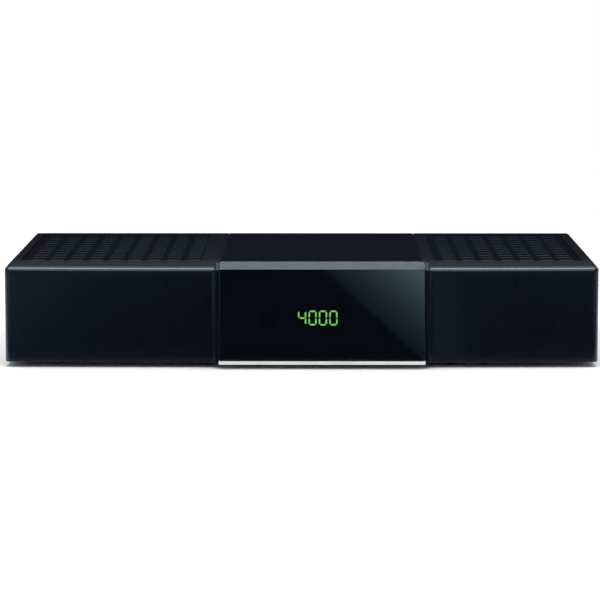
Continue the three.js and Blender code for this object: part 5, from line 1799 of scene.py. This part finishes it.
def seenRays(tree):    # the kinds of ray, and 1 for those from the camera, a mirroring face or glass
    rays = tree.nodes.new("ShaderNodeLightPath").outputs
    seen = calc(tree, "MAXIMUM", rays["Is Camera Ray"], rays["Is Glossy Ray"])
    return rays, calc(tree, "MAXIMUM", seen, rays["Is Transmission Ray"])


def glowOf(tree, colour, strength):
    return addNode(tree, "ShaderNodeEmission", {"Color": colour, "Strength": strength}).outputs["Emission"]


def showAs(tree, shade):
    tree.links.new(shade, tree.nodes["Material Output"].inputs["Surface"])


def floorMaterial(name, values):    # lit near the case, plain white further off
    tree, shader, place = startMaterial(name)
    rays, seen = seenRays(tree)
    feed(tree, shader, {
        "Base Color": mixColours(tree, rays["Is Camera Ray"], (*values["floorColour"], 1),
                                 (*values["floorSeen"], 1)),
        "Roughness": spread(tree, noiseOf(tree, place, values["floorGrain"], 3), *values["floorRoughness"]),
        "Specular IOR Level": 0.1})
    length = addNode(tree, "ShaderNodeVectorMath", {0: place})
    length.operation = "LENGTH"
    far = addNode(tree, "ShaderNodeMapRange", {
        "Value": length.outputs["Value"], "From Min": values["fadeStart"], "From Max": values["fadeEnd"]})
    far.interpolation_type = "SMOOTHSTEP"
    blend = addNode(tree, "ShaderNodeMixShader", {
        "Fac": calc(tree, "MULTIPLY", far.outputs["Result"], seen),
        1: shader.outputs["BSDF"], 2: glowOf(tree, (1, 1, 1, 1), 1)})
    showAs(tree, blend.outputs["Shader"])


def plainCard(name, colour):
    tree, shader, place = startMaterial(name)
    showAs(tree, glowOf(tree, (*colour, 1), 1))


def risingCard(name, axis, *stops):    # stops: (level along the axis, colour)
    tree, shader, place = startMaterial(name)
    start, end = stops[0][0], stops[-1][0]
    strength = max(1, *(part for level, colour in stops for part in colour))
    colours = blendColours(
        tree, spread(tree, axesOf(tree, place)[axis], 0, 1, start * mm, end * mm),
        *(((level - start) / (end - start), tinted(colour, 1 / strength)) for level, colour in stops))
    showAs(tree, glowOf(tree, colours, strength))


def wedgeCard(name, values):    # dark, with a soft light wedge to the right of a slanting line
    tree, shader, place = startMaterial(name)
    axes = axesOf(tree, place)
    side = calc(tree, "MULTIPLY_ADD", axes["Y"], values["slope"], values["shift"])
    side = calc(tree, "ADD", side, axes["X"])
    ramp = spread(tree, side, 0, 1, 0, values["width"])
    ramp = calc(tree, "MULTIPLY", ramp, spread(tree, axes["X"], 1, 0, *values["rightEnd"]))
    ramp = calc(tree, "MULTIPLY", ramp, spread(tree, axes["Y"], 0, 1, *values["nearEnd"]))
    colours = blendColours(tree, ramp, (0.0, values["dark"]), *(
        (share, tinted(values["tint"], shade)) for share, shade in values["shades"]))
    left, right = values["sideReaches"]    # both sides of the card are a little lighter
    sides = calc(tree, "ADD", spread(tree, axes["X"], 1, 0, *left), spread(tree, axes["X"], 0, 1, *right))
    both = addNode(tree, "ShaderNodeAddShader", {
        0: glowOf(tree, colours, values["strength"]), 1: glowOf(tree, (*values["sideColour"], 1), sides)})
    showAs(tree, both.outputs["Shader"])


def makeWorld(values):
    world = bpy.data.worlds.new("studio")
    scene.world = world
    world.use_nodes = True
    tree = world.node_tree
    rays, seen = seenRays(tree)
    feed(tree, tree.nodes["Background"], {
        "Color": (1, 1, 1, 1), "Strength": spread(tree, seen, values["worldStrength"], 1, 0, 1)})


def makeStage(values):
    floorMaterial("pale_floor", values)
    stageMesh("floor", "z", 0, *values["floorReach"], "pale_floor")
    for name, place in cardPlaces.items():
        if name == "front_card":
            wedgeCard(name, wedgeValues)
        elif name == "sill_card":
            plainCard(name, sillColour)
        else:
            risingCard(name, *cardStops[name])
        onlyReflected(stageMesh(name, *place, name))
    data = bpy.data.lights.new("top_lamp", "AREA")
    data.shape = "RECTANGLE"
    data.size, data.size_y = values["lampSize"]
    data.energy = values["lampPower"]
    lamp = bpy.data.objects.new("top_lamp", data)
    lamp.location = values["lampPlace"]
    lamp.visible_glossy = False
    scene.collection.objects.link(lamp)
    makeWorld(values)


makeStage(stageValues)
print("stage made")
